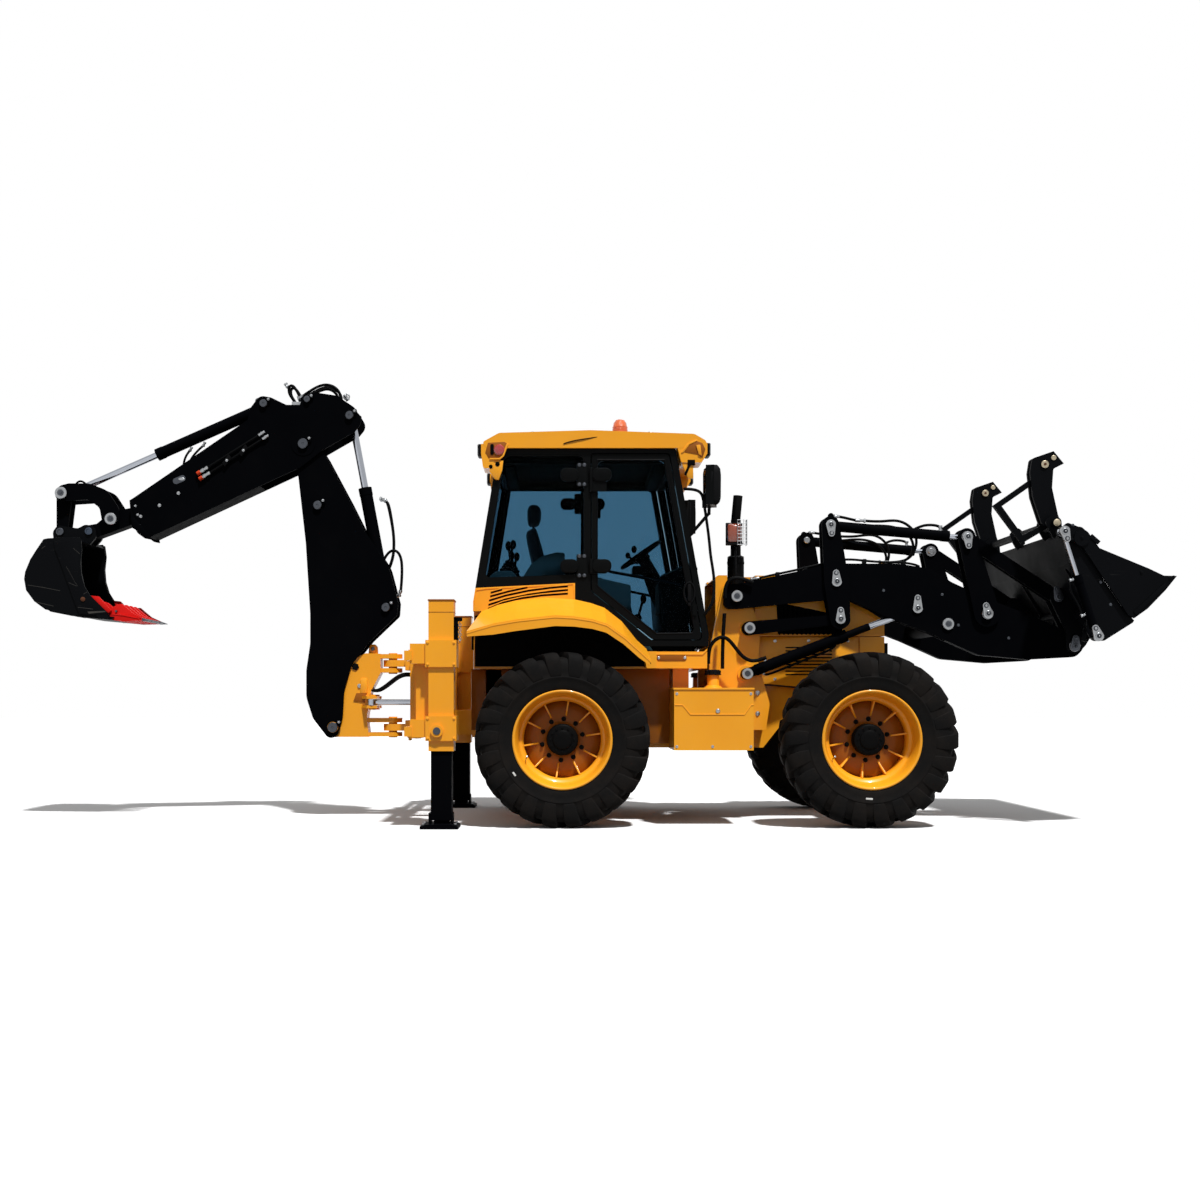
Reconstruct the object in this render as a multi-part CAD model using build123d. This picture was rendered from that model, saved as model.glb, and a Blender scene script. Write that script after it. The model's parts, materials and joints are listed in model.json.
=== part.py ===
"""Backhoe loader: equal-size wheels, a cab with two doors, a loader with a two-piece bucket and grapple
arms in front, and a side-shifting digger with two vertical stabilisers behind.

Millimetres, +X to the front, +Y to the left, +Z up. Sizes are written from the rear axle's centre on the
ground, and main() moves the finished machine so that the middle of its length stands at the origin.
"""

import math
import os

from build123d import *

# Wheels and axles
WHEELBASE = 2233
TYRE_R = 640
TYRE_W = 370
TRACK_HALF = 970
RIM_R = 350
RIM_BEAD_R = 312
RIM_W = 330
HUB_R = 118
AXLE_R = 95
STEER_DEG = 19
KING_Y = 800
CARCASS_R = 604
LUGS = 22

# Chassis and hood, heights above the ground
CHASSIS_HALF = 330
CHASSIS_LOW = 560
CHASSIS_TOP = 940
CHASSIS_REAR = -700
CHASSIS_FRONT = 2420
HOOD_HALF = 425
HOOD_TOP = 1890
HOOD_REAR = 1180
NOSE_X = 2480
SHEET = 8

# Loader, each pin as (x, z) with the bucket carried as photographed
ARM_Y = 540
ARM_T = 80
LEVER_T = 22
LEVER_GAP = 6
RAM_EYE_W = 40
CLEAR = 0.3
PIN_R = 28
PIN_HEAD = 12
ARM_PIVOT = (1325, 1717)
LINK_PIVOT = (1422, 1475)
LIFT_BASE = (1405, 1129)
LEVER_TOP = (2033, 2256)
LEVER_MID = (2078, 1826)
LEVER_LOW = (2107, 1543)
LIFT_FRONT = (2697, 1626)
CROSS_TUBE = (2929, 1506)
FRONT_LEVER_TOP = (3065, 2165)
FRONT_LEVER_MID = (3220, 1583)
BUCKET_HINGE = (3879, 1337)
TILT_PIN = (3753, 1709)
LIFT_BARREL_R = 43
LIFT_ROD_R = 25
TILT_BARREL_R = 40
TILT_ROD_R = 19

# Loader bucket, as (u, v): u along its floor and v up from it, from the hinge pin, rolled back by ROLL_DEG
ROLL_DEG = 40
BUCKET_HALF = 1110
BUCKET_PLATE = 18
CLAM_HINGE = (388, 669)
CLAM_EAR = (299, 794)
CLAM_RAM_BASE = (1, 65)
CLAM_RAM_Y = 1172
GRAPPLE_SHAFT = (397, 840)
GRAPPLE_Y = 760

# Digger, each pin as (x, z) on the middle plane
KING_X = -1351
BOOM_FOOT = (-1815, 713)
BOOM_RAM_BASE = (-1640, 1193)
BOOM_RAM_TOP = (-1935, 2471)
DIPPER_RAM_BASE = (-1395, 1662)
DIPPER_RAM_TOP = (-1680, 3178)
DIPPER_PIN = (-2047, 2954)
BUCKET_RAM_BASE = (-2359, 3272)
LINK_B = (-3961, 2566)
LINK_A = (-3568, 2361)
DIG_HINGE = (-3753, 2267)
DIG_LINK_PIN = (-3980, 2263)
BOOM_HALF = 105
BOOM_PLATE = 16
DIPPER_HALF = 126
DIG_BUCKET_HALF = 300

# Rear frame and stabilisers
STAB_X = -875
STAB_Y = 1045
LEG_W = 150
HOUSING_W = 190
FOOT_W = 275
FOOT_H = 35
RAIL_TOP_Z = 1250
RAIL_LOW_Z = 700
FRAME_X = -1010


def rounded(points):
    """A closed face through (x, z) or (x, z, corner radius) points, each corner with its radius."""
    count = len(points)
    edges = []
    ends = []
    for i, p in enumerate(points):
        here = Vector(p[0], p[1])
        before = Vector(*points[i - 1][:2])
        after = Vector(*points[(i + 1) % count][:2])
        radius = p[2] if len(p) > 2 else 0
        if not radius:
            ends.append((here, here))
            continue
        a = (before - here).normalized()
        b = (after - here).normalized()
        half = math.acos(max(-1, min(1, a.dot(b)))) / 2
        reach = min(radius / math.tan(half), 0.48 * (before - here).length, 0.48 * (after - here).length)
        radius = reach * math.tan(half)
        mid = (a + b).normalized()
        top = here + mid * (radius / math.sin(half) - radius)
        ends.append((here + a * reach, here + b * reach))
        edges.append(ThreePointArc(here + a * reach, top, here + b * reach))
    for i in range(count):
        start = ends[i][1]
        stop = ends[(i + 1) % count][0]
        if (stop - start).length > 1e-6:
            edges.append(Line(start, stop))
    return make_face(edges)


def slab(face, y0, y1):
    """The face, drawn in x and z, as a plate from y0 to y1."""
    plane = Plane(origin=(0, y1, 0), x_dir=(1, 0, 0), z_dir=(0, -1, 0))
    return extrude(plane * face, amount=y1 - y0)


def plate(points, y0, y1):
    return slab(rounded(points), y0, y1)


def disc(at, radius, y0, y1):
    """A round bar across the machine, from y0 to y1."""
    return slab(Pos(*at) * Circle(radius), y0, y1)


def strap(a, b, ra, rb, y0, y1):
    """A link with a round end at each of two pins."""
    d = Vector(*b) - Vector(*a)
    base = math.atan2(d.Y, d.X)
    lean = math.acos(max(-1, min(1, (ra - rb) / d.length)))

    def point(at, r, turn):
        return Vector(at[0] + r * math.cos(base + turn), at[1] + r * math.sin(base + turn))

    edges = [
        Line(point(a, ra, lean), point(b, rb, lean)),
        ThreePointArc(point(b, rb, lean), point(b, rb, 0), point(b, rb, -lean)),
        Line(point(b, rb, -lean), point(a, ra, -lean)),
        ThreePointArc(point(a, ra, -lean), point(a, ra, math.pi), point(a, ra, lean)),
    ]
    return slab(make_face(edges), y0, y1)


def bar(a, b, radius, y):
    """A round bar from one (x, z) point to another, in the plane at y."""
    start = Vector(a[0], y, a[1])
    run = Vector(b[0], y, b[1]) - start
    return extrude(Plane(origin=start, z_dir=run.normalized()) * Circle(radius), amount=run.length)


def block(x0, x1, y0, y1, z0, z1):
    return Pos((x0 + x1) / 2, (y0 + y1) / 2, (z0 + z1) / 2) * Box(x1 - x0, y1 - y0, z1 - z0)


def along(a, b, distance):
    """The point at a distance from a towards b."""
    length = math.dist(a, b)
    return (a[0] + (b[0] - a[0]) * distance / length, a[1] + (b[1] - a[1]) * distance / length)


def both(shape):
    """A shape and its mirror image on the machine's other side."""
    return Compound(children=[*solids_of(shape), *solids_of(mirror(shape, about=Plane.XZ))])


def solids_of(*shapes):
    return [s for shape in shapes for s in shape.solids()]


def group(*shapes):
    return Compound(children=solids_of(*shapes))


def bucket_point(u, v):
    """Where a point of the loader bucket's own frame lies in x and z."""
    t = math.radians(ROLL_DEG)
    return (
        BUCKET_HINGE[0] + u * math.cos(t) - v * math.sin(t),
        BUCKET_HINGE[1] + u * math.sin(t) + v * math.cos(t),
    )


def bucket_outline(points):
    return [(*bucket_point(p[0], p[1]), *p[2:]) for p in points]


def revolved(points, x, y_sign, y0):
    """A ring about an axle across the machine, from (offset outward, radius) points."""
    face = make_face(Polyline(*[(o, r) for o, r in points], close=True))
    plane = Plane(origin=(x, y_sign * y0, TYRE_R), x_dir=(0, y_sign, 0), z_dir=(y_sign, 0, 0))
    return revolve(plane * face, Axis((x, 0, TYRE_R), (0, 1, 0)), 360)


def tyre(x, side):
    half = TYRE_W / 2
    carcass = [
        (-RIM_W / 2 + CLEAR, RIM_BEAD_R + CLEAR),
        (-RIM_W / 2 + CLEAR, RIM_R + 4),
        (-half, 430),
        (-half, 520),
        (-half + 30, CARCASS_R - 12),
        (0, CARCASS_R),
        (half - 30, CARCASS_R - 12),
        (half, 520),
        (half, 430),
        (RIM_W / 2 - CLEAR, RIM_R + 4),
        (RIM_W / 2 - CLEAR, RIM_BEAD_R + CLEAR),
    ]
    ring = revolved(carcass, x, side, TRACK_HALF)
    lugs = []
    for i in range(LUGS):
        for half_side in (-1, 1):
            t = 360 * (i + (0.5 if half_side > 0 else 0)) / LUGS
            lug = Pos(0, half_side * TYRE_W / 4, TYRE_R - 35) * Rot(0, 0, half_side * 35) * Box(62, TYRE_W / 2 + 20, 70)
            lugs.append(Pos(x, side * TRACK_HALF, TYRE_R) * Rot(0, t, 0) * lug)
    tread = revolved([(-half, 560), (-half, TYRE_R - 16), (-half + 26, TYRE_R), (half - 26, TYRE_R), (half, TYRE_R - 16), (half, 560)], x, side, TRACK_HALF)
    lugs = [solid for lug in lugs for solid in (lug & tread).solids()]
    return ring + lugs


def rim(x, side):
    half = RIM_W / 2
    profile = [
        (-half, RIM_BEAD_R),
        (-half, RIM_R),
        (-half - 10, RIM_R),
        (-half - 10, RIM_BEAD_R - 14),
        (-70, RIM_BEAD_R - 14),
        (-70, RIM_BEAD_R - 14),
        (half + 10, RIM_BEAD_R - 14),
        (half + 10, RIM_R),
        (half, RIM_R),
        (half, RIM_BEAD_R),
    ]
    profile = [p for i, p in enumerate(profile) if i != 5]
    barrel = revolved(profile, x, side, TRACK_HALF)
    disc_ring = revolved(
        [(-60, 60 + CLEAR), (-60, RIM_BEAD_R - 14), (-42, RIM_BEAD_R - 14), (-22, 170), (-22, HUB_R), (90, HUB_R), (90, HUB_R - 18), (102, HUB_R - 36), (102, 0), (-20, 0), (-20, 60 + CLEAR)],
        x, side, TRACK_HALF,
    )
    ribs = []
    for i in range(10):
        web = make_face(Polyline((-45, RIM_BEAD_R - 10), (60, RIM_BEAD_R - 10), (-24, 165), (-45, 165), close=True))
        plane = Plane(origin=(x - 6, side * TRACK_HALF, TYRE_R), x_dir=(0, side, 0), z_dir=(side, 0, 0))
        rib = extrude(plane * web, amount=12 * side)
        ribs.append(rib.rotate(Axis((x, 0, TYRE_R), (0, 1, 0)), 36 * i))
    return barrel + disc_ring + ribs


def wheels():
    made = {}
    for end, x in (("rear", 0), ("front", WHEELBASE)):
        for name, side in (("right", -1), ("left", 1)):
            made[f"tyre_{end}_{name}"] = tyre(x, side)
            made[f"rim_{end}_{name}"] = rim(x, side)
    return made


def axle_bar(x, y0, y1, radius):
    return extrude(Plane(origin=(x, y0, TYRE_R), z_dir=(0, 1, 0)) * Circle(radius), amount=y1 - y0)


YOKE_H = 110
YOKE_T = 30
SPINDLE_R = 60


def axles():
    """Rear beam with its spindles, and the front beam whose ends are yokes for the knuckles."""
    hub_face = TRACK_HALF - 62
    rear = axle_bar(0, -hub_face, hub_face, AXLE_R)
    rear += axle_bar(0, -hub_face - 40, hub_face + 40, SPINDLE_R)
    front = axle_bar(WHEELBASE, -KING_Y + 130, KING_Y - 130, AXLE_R)
    for shape_x in (0, WHEELBASE):
        bowl = Pos(shape_x, 0, TYRE_R) * Sphere(184)
        rear, front = (rear + bowl, front) if shape_x == 0 else (rear, front + bowl)
    for side in (-1, 1):
        yoke = block(WHEELBASE - 70, WHEELBASE + 70, KING_Y - 145, KING_Y - 100, TYRE_R - YOKE_H, TYRE_R + YOKE_H)
        for z in (TYRE_R - YOKE_H, TYRE_R + YOKE_H - YOKE_T):
            yoke += block(WHEELBASE - 70, WHEELBASE + 70, KING_Y - 120, KING_Y, z, z + YOKE_T)
            yoke += Pos(WHEELBASE, KING_Y, z + YOKE_T / 2) * Cylinder(70, YOKE_T)
        for z in (TYRE_R - YOKE_H + YOKE_T + 20, TYRE_R + YOKE_H - YOKE_T - 20):
            yoke += Pos(WHEELBASE, KING_Y, z) * Cylinder(PIN_R, 40)
        front += yoke if side > 0 else mirror(yoke, about=Plane.XZ)
    saddle = block(WHEELBASE - 110, WHEELBASE + 110, -110, 110, TYRE_R + 120, 830 - CLEAR)
    mount = block(-110, 110, 200, 320, TYRE_R + 40, 780 - CLEAR)
    return group(rear + mount + mirror(mount, about=Plane.XZ), front + saddle)


def knuckle(side):
    inner = YOKE_H - YOKE_T - 1
    body = block(WHEELBASE - 55, WHEELBASE + 55, KING_Y - 60, KING_Y + 70, TYRE_R - inner, TYRE_R + inner)
    body += axle_bar(WHEELBASE, KING_Y + 60, TRACK_HALF - 62, 80)
    body += axle_bar(WHEELBASE, KING_Y + 60, TRACK_HALF - 22, SPINDLE_R)
    for z in (TYRE_R - inner, TYRE_R + inner):
        body -= Pos(WHEELBASE, KING_Y, z) * Cylinder(PIN_R + CLEAR, 96)
    return body if side > 0 else mirror(body, about=Plane.XZ)


TOWER_IN = 432
TOW_X = NOSE_X + 30
TOW_R = 22
RAIL_NOSE_TOP = 980
TOWER_OUT = 484


def chassis():
    """Ladder frame, with the loader towers, side boxes, front cowl and counterweight bolted to it."""
    rail = plate(
        [
            (CHASSIS_REAR, 640),
            (-300, 640),
            (-260, 780),
            (260, 780),
            (330, CHASSIS_LOW),
            (1560, CHASSIS_LOW),
            (1750, 800),
            (CHASSIS_FRONT, 800),
            (CHASSIS_FRONT, RAIL_NOSE_TOP),
            (2280, RAIL_NOSE_TOP),
            (1600, 1040),
            (1150, 1040),
            (1000, CHASSIS_TOP),
            (CHASSIS_REAR, CHASSIS_TOP),
        ],
        CHASSIS_HALF - 60,
        CHASSIS_HALF,
    )
    tower = plate(
        [
            (1120, 700),
            (1560, 700),
            (1590, 900, 60),
            (1500, 1220, 60),
            (1520, 1480, 50),
            (1410, 1760, 60),
            (1370, 1810, 40),
            (1230, 1810, 40),
            (1130, 1300),
        ],
        TOWER_IN,
        TOWER_OUT,
    )
    tower += block(1150, 1560, CHASSIS_HALF + CLEAR, TOWER_IN + 10, 720, 1000)
    for at in (ARM_PIVOT, LINK_PIVOT, LIFT_BASE):
        tower += disc(at, 62, TOWER_OUT - 5, ARM_Y - ARM_T / 2 - CLEAR)
        tower += disc(at, PIN_R, TOWER_OUT - 5, ARM_Y + ARM_T / 2 + PIN_HEAD)
        tower += disc(at, PIN_R + 14, ARM_Y + ARM_T / 2 + CLEAR, ARM_Y + ARM_T / 2 + PIN_HEAD)
    frame = rail + mirror(rail, about=Plane.XZ)
    cross_members = (
        # rear x, front x, low z, high z
        (CHASSIS_REAR, -560, 660, 870),
        (360, 460, 600, 860),
        (1440, 1540, 600, 860),
        (2100, 2400, 830, 960),
    )
    for x0, x1, z0, z1 in cross_members:
        frame += block(x0, x1, -CHASSIS_HALF + 30, CHASSIS_HALF - 30, z0, z1)
    box = block(818, 1400, TOWER_OUT + CLEAR, 985, 560, 1010)
    cowl = block(2290, NOSE_X, -HOOD_HALF, HOOD_HALF, RAIL_NOSE_TOP + CLEAR, 1415)
    weight = block(CHASSIS_FRONT + CLEAR, NOSE_X + 70, -HOOD_HALF, HOOD_HALF, 780, RAIL_NOSE_TOP)
    weight -= block(NOSE_X - 30, NOSE_X + 71, -60, 60, 850, 915)
    weight -= Pos(TOW_X, 0, 880) * Cylinder(TOW_R, 300)
    return group(frame, tower, mirror(tower, about=Plane.XZ), box, mirror(box, about=Plane.XZ), cowl, weight)


STACK_X = 1345
STACK_Y = -345


def engine():
    """Engine as one plain block, with the exhaust stack that stands beside the hood."""
    lump = block(1300, 2090, -220, 220, 860 + CLEAR, 1400)
    stack = bar((STACK_X, 1880), (STACK_X, 2330), 32, STACK_Y)
    stack += bar((STACK_X, 1480), (STACK_X, 2040), 62, STACK_Y)
    stack += block(STACK_X - 45, STACK_X + 55, STACK_Y, -200, 1385, 1500)
    stack += bar((STACK_X, 2325), (STACK_X + 17, 2500), 32, STACK_Y)
    return lump + stack


BONNET_HINGE = (HOOD_REAR + 6, HOOD_TOP - 12)


def bonnet():
    """One-piece hood lid, hinged at its rear edge."""
    outer = plate(
        [(HOOD_REAR, 1420), (HOOD_REAR, HOOD_TOP, 30), (1750, HOOD_TOP - 5, 200), (2180, 1730, 200), (NOSE_X, 1540, 40), (NOSE_X, 1420)],
        -HOOD_HALF,
        HOOD_HALF,
    )
    inner = plate(
        [(HOOD_REAR - 10, 1400), (HOOD_REAR - 10, HOOD_TOP - SHEET * 2, 30), (1750, HOOD_TOP - SHEET * 2 - 5, 200), (2175, 1712, 200), (NOSE_X - 16, 1528, 30), (NOSE_X - 16, 1400)],
        -HOOD_HALF + SHEET,
        HOOD_HALF - SHEET,
    )
    lid = outer - inner
    lid -= block(1270, STACK_X + 140, -HOOD_HALF - 10, -275, 1380, HOOD_TOP + 10)
    for y in (-260, 260):
        lid += disc(BONNET_HINGE, 10, y - 40, y + 40)
    return lid


CAB_HALF = 800
CAB_WALL = 40
TUB_HALF = 700
SILL_Z = 1165
CAB_HULL = [(1078, SILL_Z), (1090, 1420), (842, 2800), (-478, 2800), (-664, 1660), (-664, SILL_Z)]
CAB_ROOM = [(1038, 1205), (1048, 1420), (806, 2762), (-446, 2762), (-622, 1664), (-622, 1205)]
DOOR_CUT = [(1034, 1372, 40), (1042, 1420), (800, 2766, 30), (212, 2766, 20), (212, 1738, 40), (668, 1372, 60)]
DOOR_PANE = [(968, 1430, 60), (982, 1470), (762, 2712, 60), (262, 2712, 50), (262, 1780, 60), (700, 1425, 90)]
QUARTER_CUT = [(160, 1865, 30), (160, 2745, 40), (-430, 2745, 60), (-572, 1840, 30)]
DOOR_HINGE = (215, 816)
DOOR_KNUCKLE_R = 14
ARCH_IN = [(625, 1312), (556, 1373), (442, 1515), (314, 1615), (214, 1650), (86, 1679), (-127, 1693), (-341, 1671), (-483, 1636), (-600, 1590)]
ARCH_OUT_TOP = [(640, 1215), (565, 1284), (450, 1388), (320, 1480), (214, 1512), (86, 1532), (-54, 1540), (-330, 1510), (-500, 1480), (-690, 1425)]
ARCH_OUT_LOW = [(627, 1180), (552, 1234), (442, 1331), (317, 1414), (214, 1442), (86, 1458), (-54, 1462), (-330, 1427), (-500, 1400), (-688, 1386)]
FENDER_OUT = 1150
FRAME_LOW = [(1100, 1290), (620, 1290), (214, 1620), (95, 1640), (95, 1800), (-800, 1756)]


def cab_frame():
    """Roll-over frame: pillars, roof rails, windscreen and rear frames, with the mirrors' arms."""
    hull = plate(CAB_HULL, -CAB_HALF, CAB_HALF)
    room = plate(CAB_ROOM, -CAB_HALF + CAB_WALL, CAB_HALF - CAB_WALL)
    shell = hull - room
    shell -= block(-800, 1200, -900, 900, 1100, 1330)
    shell -= plate([(-800, 1100), (1100, 1100)] + FRAME_LOW, -900, 900)
    shell -= plate(DOOR_CUT, -900, 900)
    shell -= plate(QUARTER_CUT, -900, 900)
    shell -= block(600, 1300, -CAB_HALF + 70, CAB_HALF - 70, 1440, 2700)
    shell -= block(-900, -400, -CAB_HALF + 70, CAB_HALF - 70, 1820, 2700)
    shell -= block(-380, 740, -CAB_HALF + 90, CAB_HALF - 90, 2700, 2900)
    mirror_arm = extrude(Plane(origin=(930, CAB_HALF - 20, 2130), z_dir=(0.62, 0.35, 0.72)) * Circle(12), amount=260)
    mirror_arm += extrude(Plane(origin=(1085, CAB_HALF + 62, 2300), z_dir=(0, 0.35, 1)) * Circle(12), amount=330)
    head = Pos(1095, CAB_HALF + 130, 2500) * Rot(0, 0, 12) * Box(60, 190, 290)
    shell += mirror_arm + head + mirror(mirror_arm + head, about=Plane.XZ)
    return shell


def lowered(points, drop):
    return [(x, z - drop) for x, z in points]


def ring_face(points, y):
    """A closed face in x and z, standing in the plane at y."""
    return Plane(origin=(0, y, 0), x_dir=(1, 0, 0), z_dir=(0, -1, 0)) * make_face(Polyline(*points, close=True))


def cab_body():
    """Painted lower cab: floor tub, rear corner panels, fenders, sills and the mounts under the floor."""
    line = [(1078, 1290 - CLEAR), (620, 1290 - CLEAR), (214, 1620 - CLEAR), (-664, 1620 - CLEAR)]
    tub = plate([(1078, SILL_Z)] + line + [(-664, SILL_Z)], -TUB_HALF, TUB_HALF)
    tub += block(630, 1078, -CAB_HALF, CAB_HALF, SILL_Z, 1290 - CLEAR)
    tub -= plate([(1048, 1195), (1048, 1500), (580, 1500), (235, 1700), (-634, 1700), (-634, 1195)], -TUB_HALF + 20, TUB_HALF - 20)
    upper = plate([(95 - CLEAR, 1590), (95 - CLEAR, 1800 - CLEAR), (-647, 1763), (-664, 1660), (-664, 1590)], -CAB_HALF, CAB_HALF)
    upper -= plate([(120, 1500), (120, 1900), (-620, 1900), (-640, 1660), (-640, 1500)], -CAB_HALF + 20, CAB_HALF - 20)
    shelf = block(-650, 90, TUB_HALF - 10, CAB_HALF - 10, 1590, 1610)
    fender = loft([ring_face(ARCH_IN + lowered(ARCH_IN, 20)[::-1], CAB_HALF + CLEAR), ring_face(ARCH_OUT_TOP + lowered(ARCH_OUT_TOP, 20)[::-1], FENDER_OUT)], ruled=True)
    fender += plate(ARCH_OUT_TOP + ARCH_OUT_LOW[::-1], FENDER_OUT - 14, FENDER_OUT)
    fender += plate(ARCH_IN[5:9] + lowered(ARCH_IN[5:9], 19)[::-1], CAB_HALF - 12, CAB_HALF + 6)
    front = block(600, 700, TUB_HALF - 5, CAB_HALF + 40, SILL_Z, 1290 - CLEAR) & plate([(640, 1100), (610, 1240), (560, 1330), (700, 1330), (700, 1100)], 0, 1200)
    half = shelf + fender + front
    tub += upper + half + mirror(half, about=Plane.XZ)
    for x, z in ((-520, CHASSIS_TOP), (900, 1010)):
        mount = block(x - 60, x + 60, CHASSIS_HALF - 50, 580, z + CLEAR, SILL_Z + 5)
        tub += mount + mirror(mount, about=Plane.XZ)
    return tub


def door(side):
    frame = scale_plate(DOOR_CUT, 8, 0, 36) - plate(DOOR_PANE, -1, 37)
    frame = Pos(0, CAB_HALF - 36, 0) * frame
    frame += block(968, 1000, CAB_HALF - 2, CAB_HALF + 16, 1560, 1640)
    for z in (1910, 2520):
        frame += block(228, 330, CAB_HALF - 2, CAB_HALF + 20, z - 40, z + 40)
        frame += block(DOOR_HINGE[0], 240, CAB_HALF + 2, CAB_HALF + 20, z - 40, z + 40)
        frame += Pos(DOOR_HINGE[0], DOOR_HINGE[1], z) * Cylinder(DOOR_KNUCKLE_R, 80)
    return frame if side > 0 else mirror(frame, about=Plane.XZ)


def scale_plate(points, gap, y0, y1):
    face = offset(rounded(points), amount=-gap, kind=Kind.INTERSECTION)
    return slab(face, y0, y1)


def door_glass(side):
    pane = Pos(0, CAB_HALF - 22, 0) * scale_plate(DOOR_PANE, CLEAR, 0, 6)
    return pane if side > 0 else mirror(pane, about=Plane.XZ)


def cab_glass():
    """Windscreen, rear window and the two quarter windows."""
    quarter = Pos(0, CAB_HALF - 20, 0) * scale_plate(QUARTER_CUT, CLEAR, 0, 6)
    front = plate([(1076, 1440 + CLEAR), (1070, 1440 + CLEAR), (844, 2700 - CLEAR), (850, 2700 - CLEAR)], -CAB_HALF + 70 + CLEAR, CAB_HALF - 70 - CLEAR)
    rear = plate([(-627, 1820 + CLEAR), (-621, 1820 + CLEAR), (-477, 2700 - CLEAR), (-483, 2700 - CLEAR)], -CAB_HALF + 70 + CLEAR, CAB_HALF - 70 - CLEAR)
    return group(quarter, mirror(quarter, about=Plane.XZ), front, rear)


ROOF_FRONT = 1077
ROOF_REAR = -603


def cab_roof():
    """Roof cap, hollow underneath, with a lamp pod hanging at each corner."""
    outer = plate([(1060, 2800 + CLEAR), (1075, 2850, 30), (980, 2905, 60), (210, 2932), (-470, 2912, 60), (-600, 2840, 30), (-560, 2800 + CLEAR)], -830, 830)
    cap = outer - block(-440, 800, -700, 700, 2790, 2880)
    front = [(856, 2801), (884, 2692, 15), (1035, 2692, 20), (ROOF_FRONT, 2760, 20), (ROOF_FRONT, 2840), (856, 2840)]
    rear = [(-492, 2801), (-512, 2650, 15), (-588, 2650, 20), (ROOF_REAR, 2760, 20), (ROOF_REAR, 2830), (-492, 2830)]
    for corner in (front, rear):
        pod = plate(corner, 570, 829)
        cap += pod + mirror(pod, about=Plane.XZ)
    return cap


def cab_interior():
    """Seat on its base, and the steering column with its wheel."""
    seat = block(-180, 260, -240, 240, 1196, 1560)
    seat += plate([(-220, 1540), (300, 1560, 30), (310, 1680, 50), (-90, 1670), (-180, 2300, 60), (-300, 2300, 50), (-230, 1560, 40)], -250, 250)
    column = bar((780, 1220), (640, 1900), 55, 0)
    column += block(700, 1000, -330, 330, 1196, 1400)
    wheel = Pos(628, 0, 1915) * Rot(0, -12, 0) * Torus(190, 16)
    wheel += Pos(628, 0, 1915) * Rot(0, -12, 0) * Box(370, 40, 18)
    console = block(-450, -330, -350, 350, 1196, 1900)
    return group(seat, column + wheel, console)


def lamps():
    """Work lamps on the roof's pods and head lamps on the nose."""
    made = []
    places = (
        # rear x, front x, low z, high z, middle y
        (ROOF_FRONT + CLEAR, ROOF_FRONT + 26, 2762, 2836, 705),
        (ROOF_REAR - 26, ROOF_REAR - CLEAR, 2762, 2828, 705),
        (NOSE_X + CLEAR, NOSE_X + 30, 1250, 1360, 300),
    )
    for side in (-1, 1):
        for x0, x1, z0, z1, y in places:
            made.append(block(x0, x1, side * y - 75, side * y + 75, z0, z1))
    return made


PLATE_OUT = (586, 608)
PLATE_IN = (472, 494)
FORK_OUT = (562, 580)
FORK_IN = (500, 518)
EYE = (ARM_Y - RAM_EYE_W / 2, ARM_Y + RAM_EYE_W / 2)
BORE = PIN_R + CLEAR


def pin_end(at, inner, outer):
    """The end of a pin from y inner to y outer, with its round keeper outside."""
    low, high = sorted((inner, outer))
    body = disc(at, PIN_R, low, high)
    if outer > inner:
        return body + disc(at, PIN_R + 14, outer - PIN_HEAD + CLEAR, outer)
    return body + disc(at, PIN_R + 14, outer, outer + PIN_HEAD - CLEAR)


def pin(at, y0, y1, radius=PIN_R):
    """A pin with a round keeper on each end."""
    body = disc(at, radius, y0 - PIN_HEAD, y1 + PIN_HEAD)
    for a, b in ((y0 - PIN_HEAD, y0 - CLEAR), (y1 + CLEAR, y1 + PIN_HEAD)):
        body += disc(at, radius + 14, a, b)
    return body


def barrel(a, b, length, radius, y, eye, bore, hole):
    """A ram's barrel with its base eye at a, pointing to b, open at its front for the rod."""
    neck = along(a, b, radius + 32)
    end = along(a, b, length)
    body = bar(neck, end, radius, y) + disc(a, radius, *eye)
    body += bar(a, along(a, b, radius + 40), min(radius, (eye[1] - eye[0]) / 2 - 2), y)
    body += bar(along(a, b, length - 60), end, radius + 3, y)
    body -= disc(a, bore, eye[0] - 80, eye[1] + 80)
    return body - bar(along(a, b, radius + 70), along(a, b, length + 10), hole + CLEAR, y)


def rod(a, b, start, radius, y, eye, eye_r):
    """A ram's rod, from inside the barrel to its eye at b, with the middle of the pin in that eye.

    The pin's ends stay with the plates on each side, so an eye that leaves its place a little as the machine
    moves passes between the plates.
    """
    return bar(along(a, b, start), along(b, a, eye_r * 0.8), radius, y) + disc(b, eye_r, *eye)


def rear_lever_plate(y0, y1):
    return strap(LEVER_TOP, LEVER_MID, 66, 94, y0, y1) + strap(LEVER_MID, LEVER_LOW, 94, 76, y0, y1)


def front_lever_plate(y0, y1):
    return strap(FRONT_LEVER_TOP, FRONT_LEVER_MID, 66, 98, y0, y1)


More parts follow.
